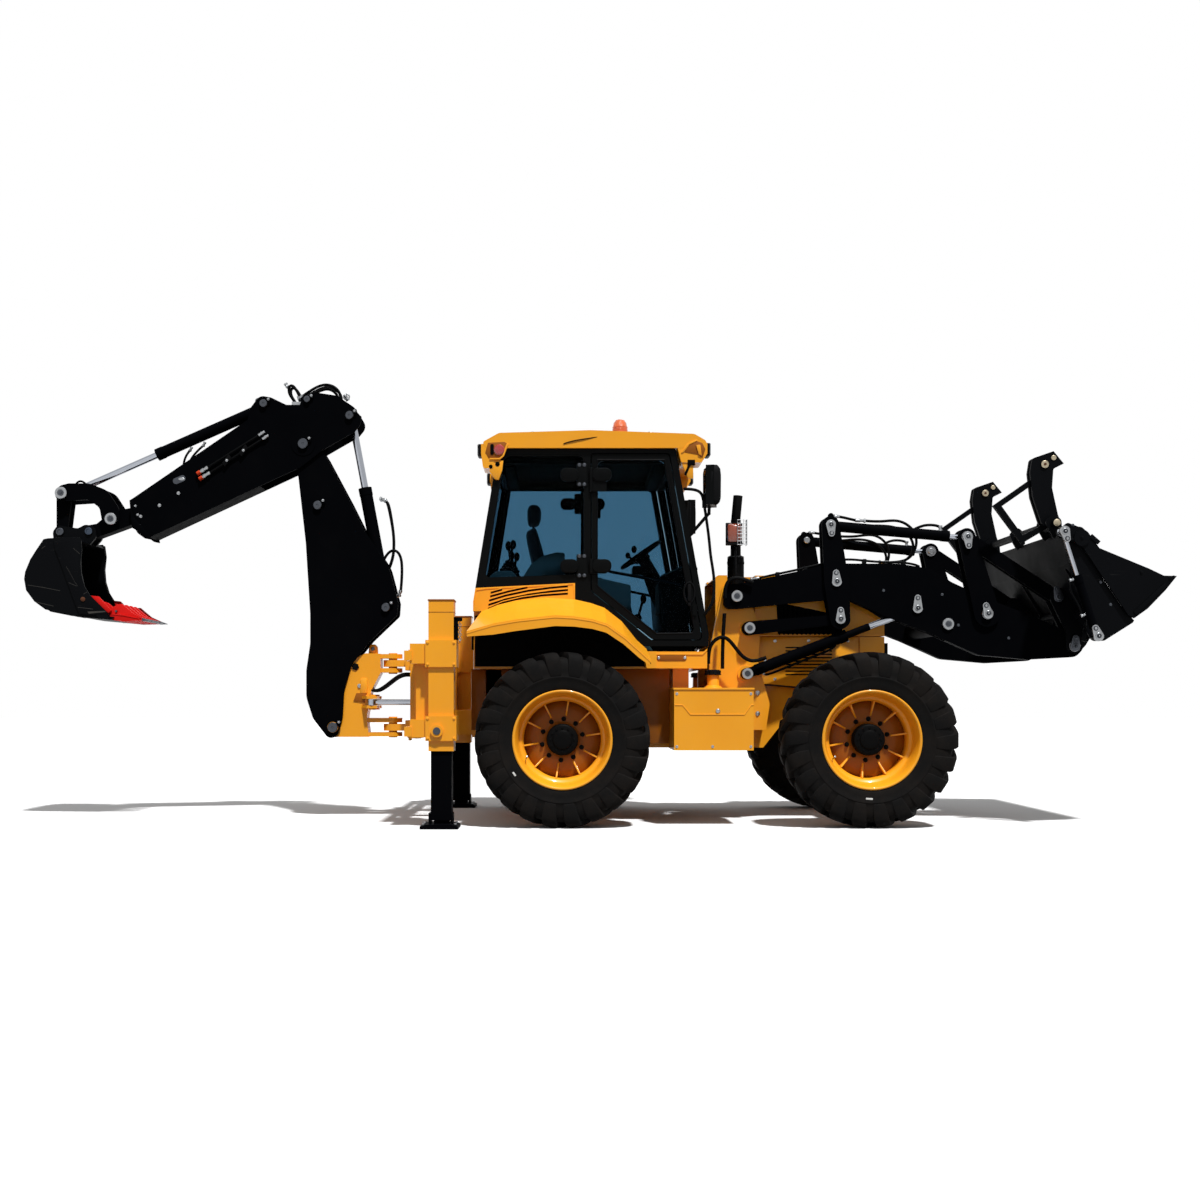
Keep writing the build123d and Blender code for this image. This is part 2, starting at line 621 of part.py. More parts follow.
def loader_arms():
    """Two box arms joined by a cross tube, forked where the lift rams reach them."""
    outline = [
        (1230, 1811, 80),
        (1328, 1811),
        (1841, 1917, 200),
        (2019, 1966, 200),
        (2560, 1964, 120),
        (2800, 1925, 200),
        (2956, 1824, 200),
        (3224, 1701, 200),
        (3559, 1570),
        (3900, 1425, 78),
        (3975, 1337, 60),
        (3900, 1256, 78),
        (3536, 1236, 100),
        (3157, 1270, 120),
        (2823, 1420, 200),
        (2443, 1567, 200),
        (2153, 1700, 200),
        (1841, 1674, 300),
        (1328, 1622),
        (1230, 1622, 80),
    ]
    inner, outer = ARM_Y - ARM_T / 2, ARM_Y + ARM_T / 2
    arm = plate(outline, inner, outer)
    for at in (ARM_PIVOT, LEVER_MID, FRONT_LEVER_MID, BUCKET_HINGE):
        arm -= disc(at, BORE, inner - 10, outer + 10)
    arm -= plate([(2290, 1380), (2940, 1380), (2860, 1720, 40), (2640, 1780, 40), (2290, 1662)], EYE[0] - 12, EYE[1] + 12)
    arm += keeper(LIFT_FRONT, outer, 78)
    tube = disc(CROSS_TUBE, 75, -inner - 5, inner + 5) + disc(CROSS_TUBE, 45, -outer - 6, outer + 6)
    return arm + mirror(arm, about=Plane.XZ) + tube


def keeper(at, face, lift):
    """The pear-shaped plate that holds a pin's head, standing on the face at y."""
    return strap(at, (at[0], at[1] + lift), 36, 22, face - 3, face + PIN_HEAD)


def rear_levers():
    body = rear_lever_plate(*PLATE_OUT) + rear_lever_plate(*PLATE_IN)
    for at in (LEVER_TOP, LEVER_MID, LEVER_LOW):
        body += disc(at, PIN_R + 8, PLATE_IN[0] - PIN_HEAD, PLATE_IN[0] + 1) + keeper(at, PLATE_OUT[1], 66)
    for at in (LEVER_TOP, LEVER_MID):
        body += disc(at, PIN_R, PLATE_IN[0], PLATE_OUT[1] - 1)
    return both(body)


def level_links():
    outer = ARM_Y + ARM_T / 2
    inner = ARM_Y - ARM_T / 2
    body = strap(LINK_PIVOT, LEVER_LOW, 52, 36, inner, outer)
    return both(body - disc(LINK_PIVOT, BORE, 400, 700))


def lift_barrels():
    outer = ARM_Y + ARM_T / 2
    inner = ARM_Y - ARM_T / 2
    return both(barrel(LIFT_BASE, LIFT_FRONT, 815, LIFT_BARREL_R, ARM_Y, (inner, outer), BORE, LIFT_ROD_R))


def lift_rods():
    return both(rod(LIFT_BASE, LIFT_FRONT, 345, LIFT_ROD_R, ARM_Y, EYE, 48))


def tilt_barrels():
    return both(barrel(LEVER_TOP, FRONT_LEVER_TOP, 915, TILT_BARREL_R, ARM_Y, EYE, BORE, TILT_ROD_R))


def tilt_rods():
    return both(rod(LEVER_TOP, FRONT_LEVER_TOP, 180, TILT_ROD_R, ARM_Y, EYE, 46))


def front_levers():
    body = front_lever_plate(*PLATE_OUT) + front_lever_plate(*PLATE_IN)
    body -= disc(FRONT_LEVER_MID, BORE, 400, 700)
    body -= disc(FRONT_LEVER_TOP, BORE, 400, 700)
    return both(body)


def lever_pins():
    return both(pin(FRONT_LEVER_MID, PLATE_IN[0], PLATE_OUT[1]))


def link_pins():
    outer = pin_end(FRONT_LEVER_TOP, FORK_OUT[0], PLATE_OUT[1] + PIN_HEAD)
    inner = pin_end(FRONT_LEVER_TOP, FORK_IN[1], PLATE_IN[0] - PIN_HEAD)
    return both(group(outer, inner))


def bucket_pins():
    return both(pin(BUCKET_HINGE, PLATE_IN[0], PLATE_OUT[1]))


def tilt_links():
    body = strap(FRONT_LEVER_TOP, TILT_PIN, 50, 50, *FORK_OUT) + strap(FRONT_LEVER_TOP, TILT_PIN, 50, 50, *FORK_IN)
    tie_a = along(FRONT_LEVER_TOP, TILT_PIN, 330)
    tie_b = along(FRONT_LEVER_TOP, TILT_PIN, 560)
    body += strap(tie_a, tie_b, 30, 30, FORK_IN[0], FORK_OUT[1]) + disc(TILT_PIN, PIN_R, FORK_IN[0], FORK_OUT[1])
    return both(body - disc(FRONT_LEVER_TOP, BORE, 400, 700))


def loader_bucket():
    """Back section: curved moldboard, torsion box, end plates, ears and the grapple's bearings."""
    end = BUCKET_HALF - 30
    back = [(357, 770), (250, 560), (215, 366), (200, 200), (215, 60), (288, -44)]
    front = [(306, -40), (236, 66), (221, 200), (235, 362), (269, 552), (377, 762)]
    shell = plate(bucket_outline(back + front), -end, end)
    box = plate(bucket_outline([(104, -20, 10), (288, -44), (215, 60), (200, 200), (150, 190, 10), (128, 60, 30)]), -end, end)
    sides = [(392, 815, 20), (330, 815, 30), (240, 620, 60), (185, 366, 60), (110, 260, 60), (-10, 120, 40), (-20, 40, 40), (46, -11, 20), (288, -44), (306, -38), (300, 100), (330, 366, 100), (432, 640, 60), (440, 730, 50)]
    cap = plate(bucket_outline(sides), end, end + 20)
    cap -= disc(bucket_point(*CLAM_HINGE), 40 + CLEAR, 1000, 1200)
    ram_pin = disc(bucket_point(*CLAM_RAM_BASE), 22, end + 10, CLAM_RAM_Y + 34)
    parts = shell + box + cap + ram_pin + mirror(cap + ram_pin, about=Plane.XZ)
    ear = [(-70, 10, 50), (-20, -62, 50), (70, -50, 30), (215, 0), (215, 380), (170, 440, 40), (90, 400, 40), (20, 120, 60)]
    for y0, y1 in (PLATE_OUT, PLATE_IN):
        lug = plate(bucket_outline(ear), y0, y1)
        lug -= disc(BUCKET_HINGE, BORE, 400, 700)
        lug += disc(TILT_PIN, 58, y0, y1)
        parts += lug + mirror(lug, about=Plane.XZ)
    ends = pin_end(TILT_PIN, PLATE_OUT[0], PLATE_OUT[1] + PIN_HEAD) + pin_end(TILT_PIN, PLATE_IN[1], PLATE_IN[0] - PIN_HEAD)
    parts += ends + mirror(ends, about=Plane.XZ)
    bearing = [(357, 760), (318, 760), (335, 850), (355, 900, 30), (440, 900, 30), (450, 830, 30), (400, 760)]
    for y in (-GRAPPLE_Y - 110, -GRAPPLE_Y + 90, -10, GRAPPLE_Y - 110, GRAPPLE_Y + 90):
        lug = plate(bucket_outline(bearing), y, y + 20)
        parts += lug - disc(bucket_point(*GRAPPLE_SHAFT), 30 + CLEAR, -1200, 1200)
    return parts


def clam():
    """Front section: floor, cutting edge, side plates and the ears its rams push."""
    floor = [(312, -16), (425, -25), (606, -6), (735, 19), (731, 30), (600, 16), (425, -5), (316, 4)]
    body = plate(bucket_outline(floor), -BUCKET_HALF - 5, BUCKET_HALF + 5)
    side = [(290, 30), (308, -20), (425, -29), (608, -10), (739, 16), (668, 79), (619, 187), (553, 313), (440, 530), (450, 655, 60), (440, 730, 40), (320, 840, 50), (250, 800, 50), (330, 690), (352, 600)]
    cheek = plate(bucket_outline(side), BUCKET_HALF, BUCKET_HALF + 20)
    boss = disc(bucket_point(*CLAM_HINGE), 40, BUCKET_HALF - 32, BUCKET_HALF + 4)
    boss += disc(bucket_point(*CLAM_HINGE), 58, BUCKET_HALF + 18, BUCKET_HALF + 34)
    stub = disc(bucket_point(*CLAM_EAR), 22, BUCKET_HALF + 10, CLAM_RAM_Y - 19)
    half = cheek + boss + stub
    body += half + mirror(half, about=Plane.XZ)
    return body


def clam_barrels():
    a, b = bucket_point(*CLAM_RAM_BASE), bucket_point(*CLAM_EAR)
    return both(barrel(a, b, 460, 30, CLAM_RAM_Y, (CLAM_RAM_Y - 18, CLAM_RAM_Y + 18), 22 + CLEAR, 16))


def clam_rods():
    a, b = bucket_point(*CLAM_RAM_BASE), bucket_point(*CLAM_EAR)
    head = disc(b, 28, CLAM_RAM_Y + 17, CLAM_RAM_Y + 34)
    return both(rod(a, b, 223, 16, CLAM_RAM_Y, (CLAM_RAM_Y - 18, CLAM_RAM_Y + 18), 36) + head)


def grapple_arms():
    """Two curved claws with their braces on one shaft above the bucket's top edge."""
    shaft = disc(bucket_point(*GRAPPLE_SHAFT), 30, -GRAPPLE_Y - 150, GRAPPLE_Y + 150)
    outline = [
        (345, 800, 20),
        (343, 896),
        (420, 1089),
        (520, 1240, 40),
        (600, 1310, 30),
        (756, 1250),
        (755, 1130),
        (670, 1150, 20),
        (571, 1047),
        (478, 869),
        (452, 800, 20),
    ]
    for y in (-GRAPPLE_Y, GRAPPLE_Y):
        shaft += plate(bucket_outline(outline), y - 45, y - 20) + plate(bucket_outline(outline), y + 20, y + 45)
        shaft += plate(bucket_outline([(500, 1190), (600, 1300), (750, 1240), (650, 1160)]), y - 30, y + 30)
        shaft += disc(bucket_point(641, 1217), 30, y - 52, y + 52)
        shaft += disc(bucket_point(*GRAPPLE_SHAFT), 55, y - 60, y + 60)
        shaft += plate(bucket_outline([(512, 1195), (500, 1155), (205, 1181), (185, 915), (350, 880), (340, 840), (140, 872), (160, 1226)]), y - 20, y + 20)
    return shaft


TUBE_OUT = 91
TUBE_IN = 75.3
TUBE_TOP = 1651
TUBE_LOW = 560
SLEEVE = 112
EYE_TOP = (1194, 1247)
EYE_LOW = (685, 739)
SWING_Z = 912
SWING_Y = 130
SWING_EYE_X = -1500


def column(x, y, half, z0, z1):
    return block(x - half, x + half, y - half, y + half, z0, z1)


def rear_frame():
    """Rails for the sliding carriage, and the two square stabiliser housings in their sleeves."""
    body = block(-1140, -1085, -1150, 1150, 1215, 1285) + block(-1140, -1085, -1150, 1150, 665, 735)
    body += block(-1090, -1060, -900, 900, 690, 1260)
    body -= block(-1100, -1050, -830, 830, 780, 1190)
    half = block(-1065, CHASSIS_REAR - CLEAR, 240, CHASSIS_HALF, 660, 850)
    for z0, z1 in ((1167, 1361), (634, 814)):
        half += column(STAB_X, STAB_Y, SLEEVE, z0, z1)
        half += block(-1100, STAB_X, STAB_Y - 90, STAB_Y + 90, z0 + 25, z1 - 25)
    half += column(STAB_X, STAB_Y, TUBE_OUT, TUBE_LOW, TUBE_TOP)
    half += block(-1065, -900, 820, STAB_Y, 760, 1240)
    boss = extrude(Plane(origin=(STAB_X - 28, STAB_Y + SLEEVE - 5, 706), z_dir=(0, 1, 0)) * Circle(44), amount=25)
    half += boss
    half -= column(STAB_X, STAB_Y, TUBE_IN, TUBE_LOW - 10, TUBE_TOP - 12)
    half -= extrude(Plane(origin=(STAB_X - 28, STAB_Y + SLEEVE - 40, 706), z_dir=(0, 1, 0)) * Circle(26), amount=100)
    return body + half + mirror(half, about=Plane.XZ)


def leg(side):
    """A stabiliser's inner leg with its foot flat on the ground."""
    body = column(STAB_X, STAB_Y, LEG_W / 2, 60, 1050) + block(STAB_X - 55, STAB_X + 55, STAB_Y - 55, STAB_Y + 55, 20, 80)
    body += plate([(-1024, 0), (-749, 0), (-749, 22), (-800, FOOT_H), (-973, FOOT_H), (-1024, 22)], STAB_Y - 150, STAB_Y + 150)
    for x in (-960, -800):
        body += plate([(x - 8, FOOT_H - 5), (x + 8, FOOT_H - 5), (x + 8, 110), (x - 8, 110)], STAB_Y - 70, STAB_Y + 70)
    return body if side > 0 else mirror(body, about=Plane.XZ)


def carriage():
    """Side-shift plate hooked over both rails, with the swing post's two eyes."""
    body = block(-1180, -1140 - CLEAR, -330, 330, 640, 1310)
    body += block(-1180, -1100, -330, 330, 1285 + CLEAR, 1320)
    body += block(-1180, -1100, -330, 330, 630, 665 - CLEAR)
    for z0, z1 in (EYE_TOP, EYE_LOW):
        body += block(KING_X, -1150, -75, 75, z0, z1)
        body += Pos(KING_X, 0, (z0 + z1) / 2) * Cylinder(75, z1 - z0)
        body += block(-1240, -1150, -130, 130, z0 - 30, z1 + 30)
    for z0, z1 in (EYE_TOP, EYE_LOW):
        body -= Pos(KING_X, 0, (z0 + z1) / 2) * Cylinder(BORE + 6, 200)
    for side in (-1, 1):
        body += extrude(Plane(origin=(-1010, side * SWING_Y, SWING_Z), z_dir=(-1, 0, 0)) * Circle(45), amount=178)
        body -= extrude(Plane(origin=(-1000, side * SWING_Y, SWING_Z), z_dir=(-1, 0, 0)) * Circle(22 + CLEAR), amount=200)
    return body


def swing_post():
    """Cast post between the carriage's eyes and the boom's foot."""
    outline = [(-1640, 1262, 60), (-1560, 1300, 20), (-1442, 1296), (-1442, 1142), (-1515, 1001), (-1550, 790), (-1533, 636), (-1800, 636, 60), (-1885, 640, 60), (-1885, 780, 60), (-1740, 860, 60), (-1716, 1100, 60), (-1710, 1230, 50)]
    side = plate(outline, 52, BOOM_HALF - BOOM_PLATE - 6)
    body = side + mirror(side, about=Plane.XZ)
    body += plate([(-1500, 1290), (-1442, 1290), (-1442, 1142), (-1515, 1000), (-1550, 790), (-1533, 640), (-1600, 640), (-1610, 820), (-1570, 1010), (-1500, 1140)], -60, 60)
    for z0, z1 in ((1259, 1294), (1147, 1182), (751, 786), (640, 673)):
        body += block(-1520 if z0 > 1000 else -1640, KING_X, -75, 75, z0, z1)
        body += Pos(KING_X, 0, (z0 + z1) / 2) * Cylinder(75, z1 - z0)
    body += Pos(KING_X, 0, 1220) * Cylinder(PIN_R + 6, 165)
    body += Pos(KING_X, 0, 713) * Cylinder(PIN_R + 6, 165)
    for at in (BOOM_FOOT, BOOM_RAM_BASE):
        body += disc(at, 62, 40, BOOM_HALF - BOOM_PLATE - 6) + disc(at, 62, -BOOM_HALF + BOOM_PLATE + 6, -40)
    body += disc(BOOM_RAM_BASE, PIN_R, -84, 84)
    body += disc(BOOM_FOOT, PIN_R, -BOOM_HALF - PIN_HEAD, BOOM_HALF + PIN_HEAD)
    for y0, y1 in ((BOOM_HALF + CLEAR, BOOM_HALF + PIN_HEAD), (-BOOM_HALF - PIN_HEAD, -BOOM_HALF - CLEAR)):
        body += disc(BOOM_FOOT, PIN_R + 14, y0, y1)
    for side in (-1, 1):
        for z0, z1 in ((SWING_Z + 26, SWING_Z + 48), (SWING_Z - 48, SWING_Z - 26)):
            ear = Polyline((-1620, side * 40), (-1450, side * 40), (-1460, side * 160), (-1540, side * 160), close=True)
            body += extrude(Pos(0, 0, z0) * make_face(ear), amount=z1 - z0)
        for z in (SWING_Z - 52, SWING_Z + 52):
            body += Pos(SWING_EYE_X, side * SWING_Y, z) * Cylinder(26, 16)
    return body


def swing_rod(side):
    body = extrude(Plane(origin=(SWING_EYE_X + 30, side * SWING_Y, SWING_Z), z_dir=(1, 0, 0)) * Circle(22), amount=560)
    return body + Pos(SWING_EYE_X, side * SWING_Y, SWING_Z) * Cylinder(36, 48)


BOOM_SIDE = [
    (-2160, 2920, 90),
    (-2130, 3060, 90),
    (-1990, 3070, 90),
    (-1930, 2950),
    (-1866, 2850),
    (-1679, 2501),
    (-1562, 2267),
    (-1374, 1986, 300),
    (-1299, 1700, 30),
    (-1306, 1600, 40),
    (-1515, 1400, 200),
    (-1667, 1212, 200),
    (-1726, 1001, 200),
    (-1738, 790, 80),
    (-1780, 640, 60),
    (-1850, 622, 60),
    (-1972, 780, 120),
    (-2026, 950, 200),
    (-2026, 1165, 200),
    (-1995, 1376, 200),
    (-1995, 1611),
    (-2030, 2173),
    (-2096, 2759),
]


def boom():
    """Box boom: two side plates, closed along its outer edge and across its head."""
    outer = BOOM_HALF
    side = plate(BOOM_SIDE, outer - BOOM_PLATE, outer)
    body = side + mirror(side, about=Plane.XZ)
    web = [(-2088, 2757), (-2022, 2173), (-1989, 1611), (-1989, 1400), (-2014, 1165), (-2014, 955), (-1966, 806), (-1944, 816), (-1998, 955), (-1998, 1160), (-1972, 1395), (-1972, 1611), (-2008, 2175), (-2040, 2500), (-2072, 2757)]
    body += plate(web, -outer + 5, outer - 5) - block(-2120, -1985, -42, 42, 2100, 2620)
    head = [(-2092, 2700), (-2120, 2920, 60), (-2100, 3035, 60), (-2000, 3040, 60), (-1960, 2950), (-1900, 2850), (-1770, 2610), (-1790, 2600), (-1960, 2800, 30), (-2068, 2690)]
    body += plate(head, -outer + 5, outer - 5)
    for at, r in ((BOOM_RAM_TOP, 70), (DIPPER_RAM_BASE, 66)):
        for y0, y1 in ((34, outer - 5), (-outer + 5, -34)):
            body += disc(at, r, y0, y1)
    body += disc(DIPPER_RAM_BASE, PIN_R, -outer - PIN_HEAD, outer + PIN_HEAD)
    body += disc(BOOM_RAM_TOP, PIN_R, 40, outer + PIN_HEAD) + disc(BOOM_RAM_TOP, PIN_R, -outer - PIN_HEAD, -40)
    body -= disc(BOOM_FOOT, BORE, -200, 200)
    body += disc(DIPPER_PIN, 78, -outer - 4, outer + 4)
    body -= disc(DIPPER_PIN, BORE, -200, 200)
    return body


def boom_barrel():
    return barrel(BOOM_RAM_BASE, BOOM_RAM_TOP, 1170, 55, 0, (-34, 34), BORE, 30)


def boom_rod():
    return rod(BOOM_RAM_BASE, BOOM_RAM_TOP, 205, 30, 0, (-33, 33), 55)


def dipper_barrel():
    return barrel(DIPPER_RAM_BASE, DIPPER_RAM_TOP, 976, 50, 0, (-33, 33), BORE, 28)


def dipper_rod():
    return rod(DIPPER_RAM_BASE, DIPPER_RAM_TOP, 605, 28, 0, (-33, 33), 52)


def bucket_barrel():
    return barrel(BUCKET_RAM_BASE, LINK_B, 958, 46, 0, (-30, 30), BORE, 26)


def bucket_rod():
    return rod(BUCKET_RAM_BASE, LINK_B, 790, 26, 0, (-29, 29), 50)


DIPPER_SIDE = [
    (-3420, 2505),
    (-2486, 3144),
    (-2470, 3230, 40),
    (-2390, 3336, 60),
    (-2300, 3320, 60),
    (-2180, 3262, 40),
    (-2075, 3262),
    (-2045, 3330, 20),
    (-1950, 3360, 120),
    (-1780, 3335, 120),
    (-1640, 3240, 80),
    (-1575, 3130, 70),
    (-1640, 3050, 60),
    (-1900, 2900, 200),
    (-2065, 2771),
    (-3262, 2214),
    (-3400, 2290),
]


def dipper():
    """Dipper box with its forked tail and the narrower nose that carries the bucket."""
    outer = DIPPER_HALF
    inner = outer - 16
    side = plate(DIPPER_SIDE, inner, outer)
    body = side + mirror(side, about=Plane.XZ)
    top = [(-3420, 2505), (-2486, 3144), (-2480, 3118), (-3400, 2490)]
    low = [(-3262, 2214), (-2390, 2620.7), (-2402, 2645), (-3262, 2244)]
    body += plate(top, -inner - 4, inner + 4) + plate(low, -inner - 4, inner + 4)
    body += plate([(-3262, 2214), (-3400, 2290), (-3420, 2505), (-3360, 2540), (-3250, 2260)], -inner - 4, inner + 4)
    nose = [(-3405, 2460), (-3568, 2430, 60), (-3640, 2380, 40), (-3700, 2330), (-3812, 2310, 50), (-3812, 2220, 50), (-3740, 2205, 40), (-3400, 2330)]
    body += plate(nose, -60, 60)
    body += plate([(-2180, 3258), (-2075, 3258), (-2060, 3330), (-1950, 3356), (-1810, 3336), (-1813, 3314), (-1950, 3332), (-2040, 3310), (-2075, 3236), (-2180, 3236)], -inner - 4, inner + 4)
    for at in (DIPPER_RAM_TOP, BUCKET_RAM_BASE):
        for y0, y1 in ((34, inner + 4), (-inner - 4, -34)):
            body += disc(at, 52, y0, y1)
    body += disc(BUCKET_RAM_BASE, PIN_R, -outer - PIN_HEAD, outer + PIN_HEAD)
    body += disc(DIPPER_RAM_TOP, PIN_R, 40, outer + PIN_HEAD) + disc(DIPPER_RAM_TOP, PIN_R, -outer - PIN_HEAD, -40)
    body += disc(DIPPER_PIN, 95, outer - 5, outer + 4) + disc(DIPPER_PIN, 95, -outer - 4, -outer + 5)
    body += disc(DIPPER_PIN, PIN_R, -outer - PIN_HEAD, outer + PIN_HEAD)
    body += disc((-2015, 3305), 24, -outer - PIN_HEAD, outer + PIN_HEAD)
    body -= disc(DIG_HINGE, BORE, -200, 200)
    body -= disc(LINK_A, BORE, -200, 200)
    return body


ARCH_OUT = (94, 116)
EAR_OUT = (64, 88)


def arch_links():
    """The pair of curved links from the dipper's nose to the bucket ram's front pin."""
    outline = [(-4020, 2560, 50), (-3975, 2625, 50), (-3906, 2643, 40), (-3742, 2643, 120), (-3600, 2588, 120), (-3510, 2450, 80), (-3500, 2350, 55), (-3570, 2300, 55), (-3640, 2340, 55), (-3660, 2450, 60), (-3745, 2515, 60), (-3906, 2505, 40), (-3985, 2498, 50)]
    body = plate(outline, *ARCH_OUT) + plate(outline, -ARCH_OUT[1], -ARCH_OUT[0])
    body += disc(LINK_A, PIN_R, -ARCH_OUT[1], ARCH_OUT[1])
    body += disc(LINK_B, PIN_R, 31, ARCH_OUT[1]) + disc(LINK_B, PIN_R, -ARCH_OUT[1], -31)
    for at in (LINK_A, LINK_B):
        for y0, y1 in ((ARCH_OUT[1] - 1, ARCH_OUT[1] + PIN_HEAD), (-ARCH_OUT[1] - PIN_HEAD, -ARCH_OUT[1] + 1)):
            body += disc(at, 46, y0, y1)
    return body


def bucket_link():
    outline = [(-4020, 2566, 50), (-3990, 2620, 50), (-3920, 2610, 50), (-3900, 2540, 50), (-3930, 2300), (-3935, 2230, 40), (-3990, 2210, 40), (-4035, 2250, 45), (-4020, 2300)]
    body = plate(outline, 34, 58) + plate(outline, -58, -34)
    body += plate([(-4000, 2460), (-3930, 2460), (-3945, 2330), (-4010, 2330)], -50, 50)
    body += disc(DIG_LINK_PIN, PIN_R, -58, 58)
    return body - disc(LINK_B, BORE, -200, 200)


DIG_BACK = [(-4005, 2188), (-4038, 2181), (-4102, 2086), (-4142, 2022), (-4181, 1927), (-4189, 1871), (-4174, 1784), (-4110, 1697), (-4023, 1633), (-3864, 1601), (-3745, 1574), (-3506, 1553)]
DIG_MOUTH = [(-3546, 1617), (-3665, 1728), (-3713, 1784), (-3745, 1926), (-3749, 2046), (-3745, 2165)]


def digger_bucket():
    """Digging bucket: rolled back sheet, two side plates and a pair of ears."""
    half = DIG_BUCKET_HALF
    side = plate(DIG_BACK + DIG_MOUTH + [(-3760, 2200)], half - 16, half)
    body = side + mirror(side, about=Plane.XZ)
    inner = [(-3506, 1572), (-3742, 1592), (-3860, 1619), (-4015, 1650), (-4098, 1708), (-4158, 1790), (-4172, 1871), (-4165, 1922), (-4127, 2014), (-4088, 2076), (-4026, 2168), (-4004, 2170)]
    body += plate(DIG_BACK + inner, -half + 8, half - 8)
    body += plate([(-4034, 2182), (-4005, 2188), (-3760, 2186), (-3745, 2165), (-3760, 2162), (-4020, 2165)], -half + 8, half - 8)
    ear = [(-4040, 2263, 50), (-4000, 2318, 50), (-3940, 2305, 50), (-3840, 2290, 40), (-3780, 2322, 50), (-3700, 2300, 50), (-3695, 2220, 50), (-3745, 2162), (-3790, 2172), (-4030, 2172)]
    for y0, y1 in (EAR_OUT, (-EAR_OUT[1], -EAR_OUT[0])):
        body += plate(ear, y0, y1)
    body += disc(DIG_HINGE, PIN_R, -EAR_OUT[1] - 4, EAR_OUT[1] + 4)
    for y0, y1 in ((EAR_OUT[0], EAR_OUT[1] + 4), (-EAR_OUT[1] - 4, -EAR_OUT[0])):
        body += disc(DIG_LINK_PIN, PIN_R, y0, y1)
    for y0, y1 in ((half, half + 14), (-half - 14, -half)):
        body += plate([(-3546, 1617), (-3520, 1556), (-3600, 1560), (-3760, 1760), (-3720, 1790)], y0, y1)
    return body


def digger_teeth():
    """Five teeth on the cutting edge."""
    made = []
    for i in range(5):
        y = -245 + 122.5 * i
        made.append(plate([(-3560, 1592), (-3420, 1594), (-3229, 1549), (-3420, 1544), (-3505.7, 1552), (-3505.7, 1573.2), (-3560, 1578)], y - 34, y + 34))
    return made


def nodes():
    """Every piece of the machine by its name, in the frame of the rear axle."""
    made = {
        "chassis": chassis(),
        "rear_frame": rear_frame(),
        "axles": axles(),
        "engine": engine(),
        "bonnet": bonnet(),
        "cab_frame": cab_frame(),
        "cab_body": cab_body(),
        "cab_glass": cab_glass(),
        "cab_roof": cab_roof(),
        "cab_interior": cab_interior(),
        "lamps": group(*lamps()),
        "loader_arms": loader_arms(),
        "rear_levers": rear_levers(),
        "level_links": level_links(),
        "lift_barrels": lift_barrels(),
        "lift_rods": lift_rods(),
        "tilt_barrels": tilt_barrels(),
        "tilt_rods": tilt_rods(),
        "front_levers": front_levers(),
        "lever_pins": lever_pins(),
        "link_pins": link_pins(),
        "bucket_pins": bucket_pins(),
        "tilt_links": tilt_links(),
        "loader_bucket": loader_bucket(),
        "clam": clam(),
        "clam_barrels": clam_barrels(),
        "clam_rods": clam_rods(),
        "grapple_arms": grapple_arms(),
        "carriage": carriage(),
        "swing_post": swing_post(),
        "boom": boom(),
        "boom_barrel": boom_barrel(),
        "boom_rod": boom_rod(),
        "dipper": dipper(),
        "dipper_barrel": dipper_barrel(),
        "dipper_rod": dipper_rod(),
        "arch_links": arch_links(),
        "bucket_link": bucket_link(),
        "bucket_barrel": bucket_barrel(),
        "bucket_rod": bucket_rod(),
        "digger_bucket": digger_bucket(),
        "digger_teeth": group(*digger_teeth()),
    }
    made.update(wheels())
    for name, side in (("right", -1), ("left", 1)):
        made[f"knuckle_{name}"] = knuckle(side)
        made[f"door_{name}"] = door(side)
        made[f"door_{name}_glass"] = door_glass(side)
        made[f"swing_rod_{name}"] = swing_rod(side)
        made[f"leg_{name}"] = leg(side)
    return made


def shift_of(made):
    """How far to move everything so that the middle of the length is at the origin."""
    boxes = [shape.bounding_box() for shape in made.values()]
    return -(min(b.min.X for b in boxes) + max(b.max.X for b in boxes)) / 2


def main():
    os.makedirs("parts", exist_ok=True)
    made = nodes()
    shift = shift_of(made)
    for name, shape in made.items():
        solids = [Pos(shift, 0, 0) * s for s in solids_of(*(shape if isinstance(shape, (list, ShapeList)) else [shape]))]
        part = solids[0] if len(solids) == 1 else Compound(children=solids)
        part.label = name
        export_step(part, f"parts/{name}.step")
    print("shift", shift)


if __name__ == "__main__":
    main()
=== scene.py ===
"""Looks of a backhoe loader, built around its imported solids.

The frame is in metres. Places written here are in millimetres from the rear axle's centre on the
ground, with x to the front, y to the left and z up, and at() turns them into the frame.
"""

import json
import math

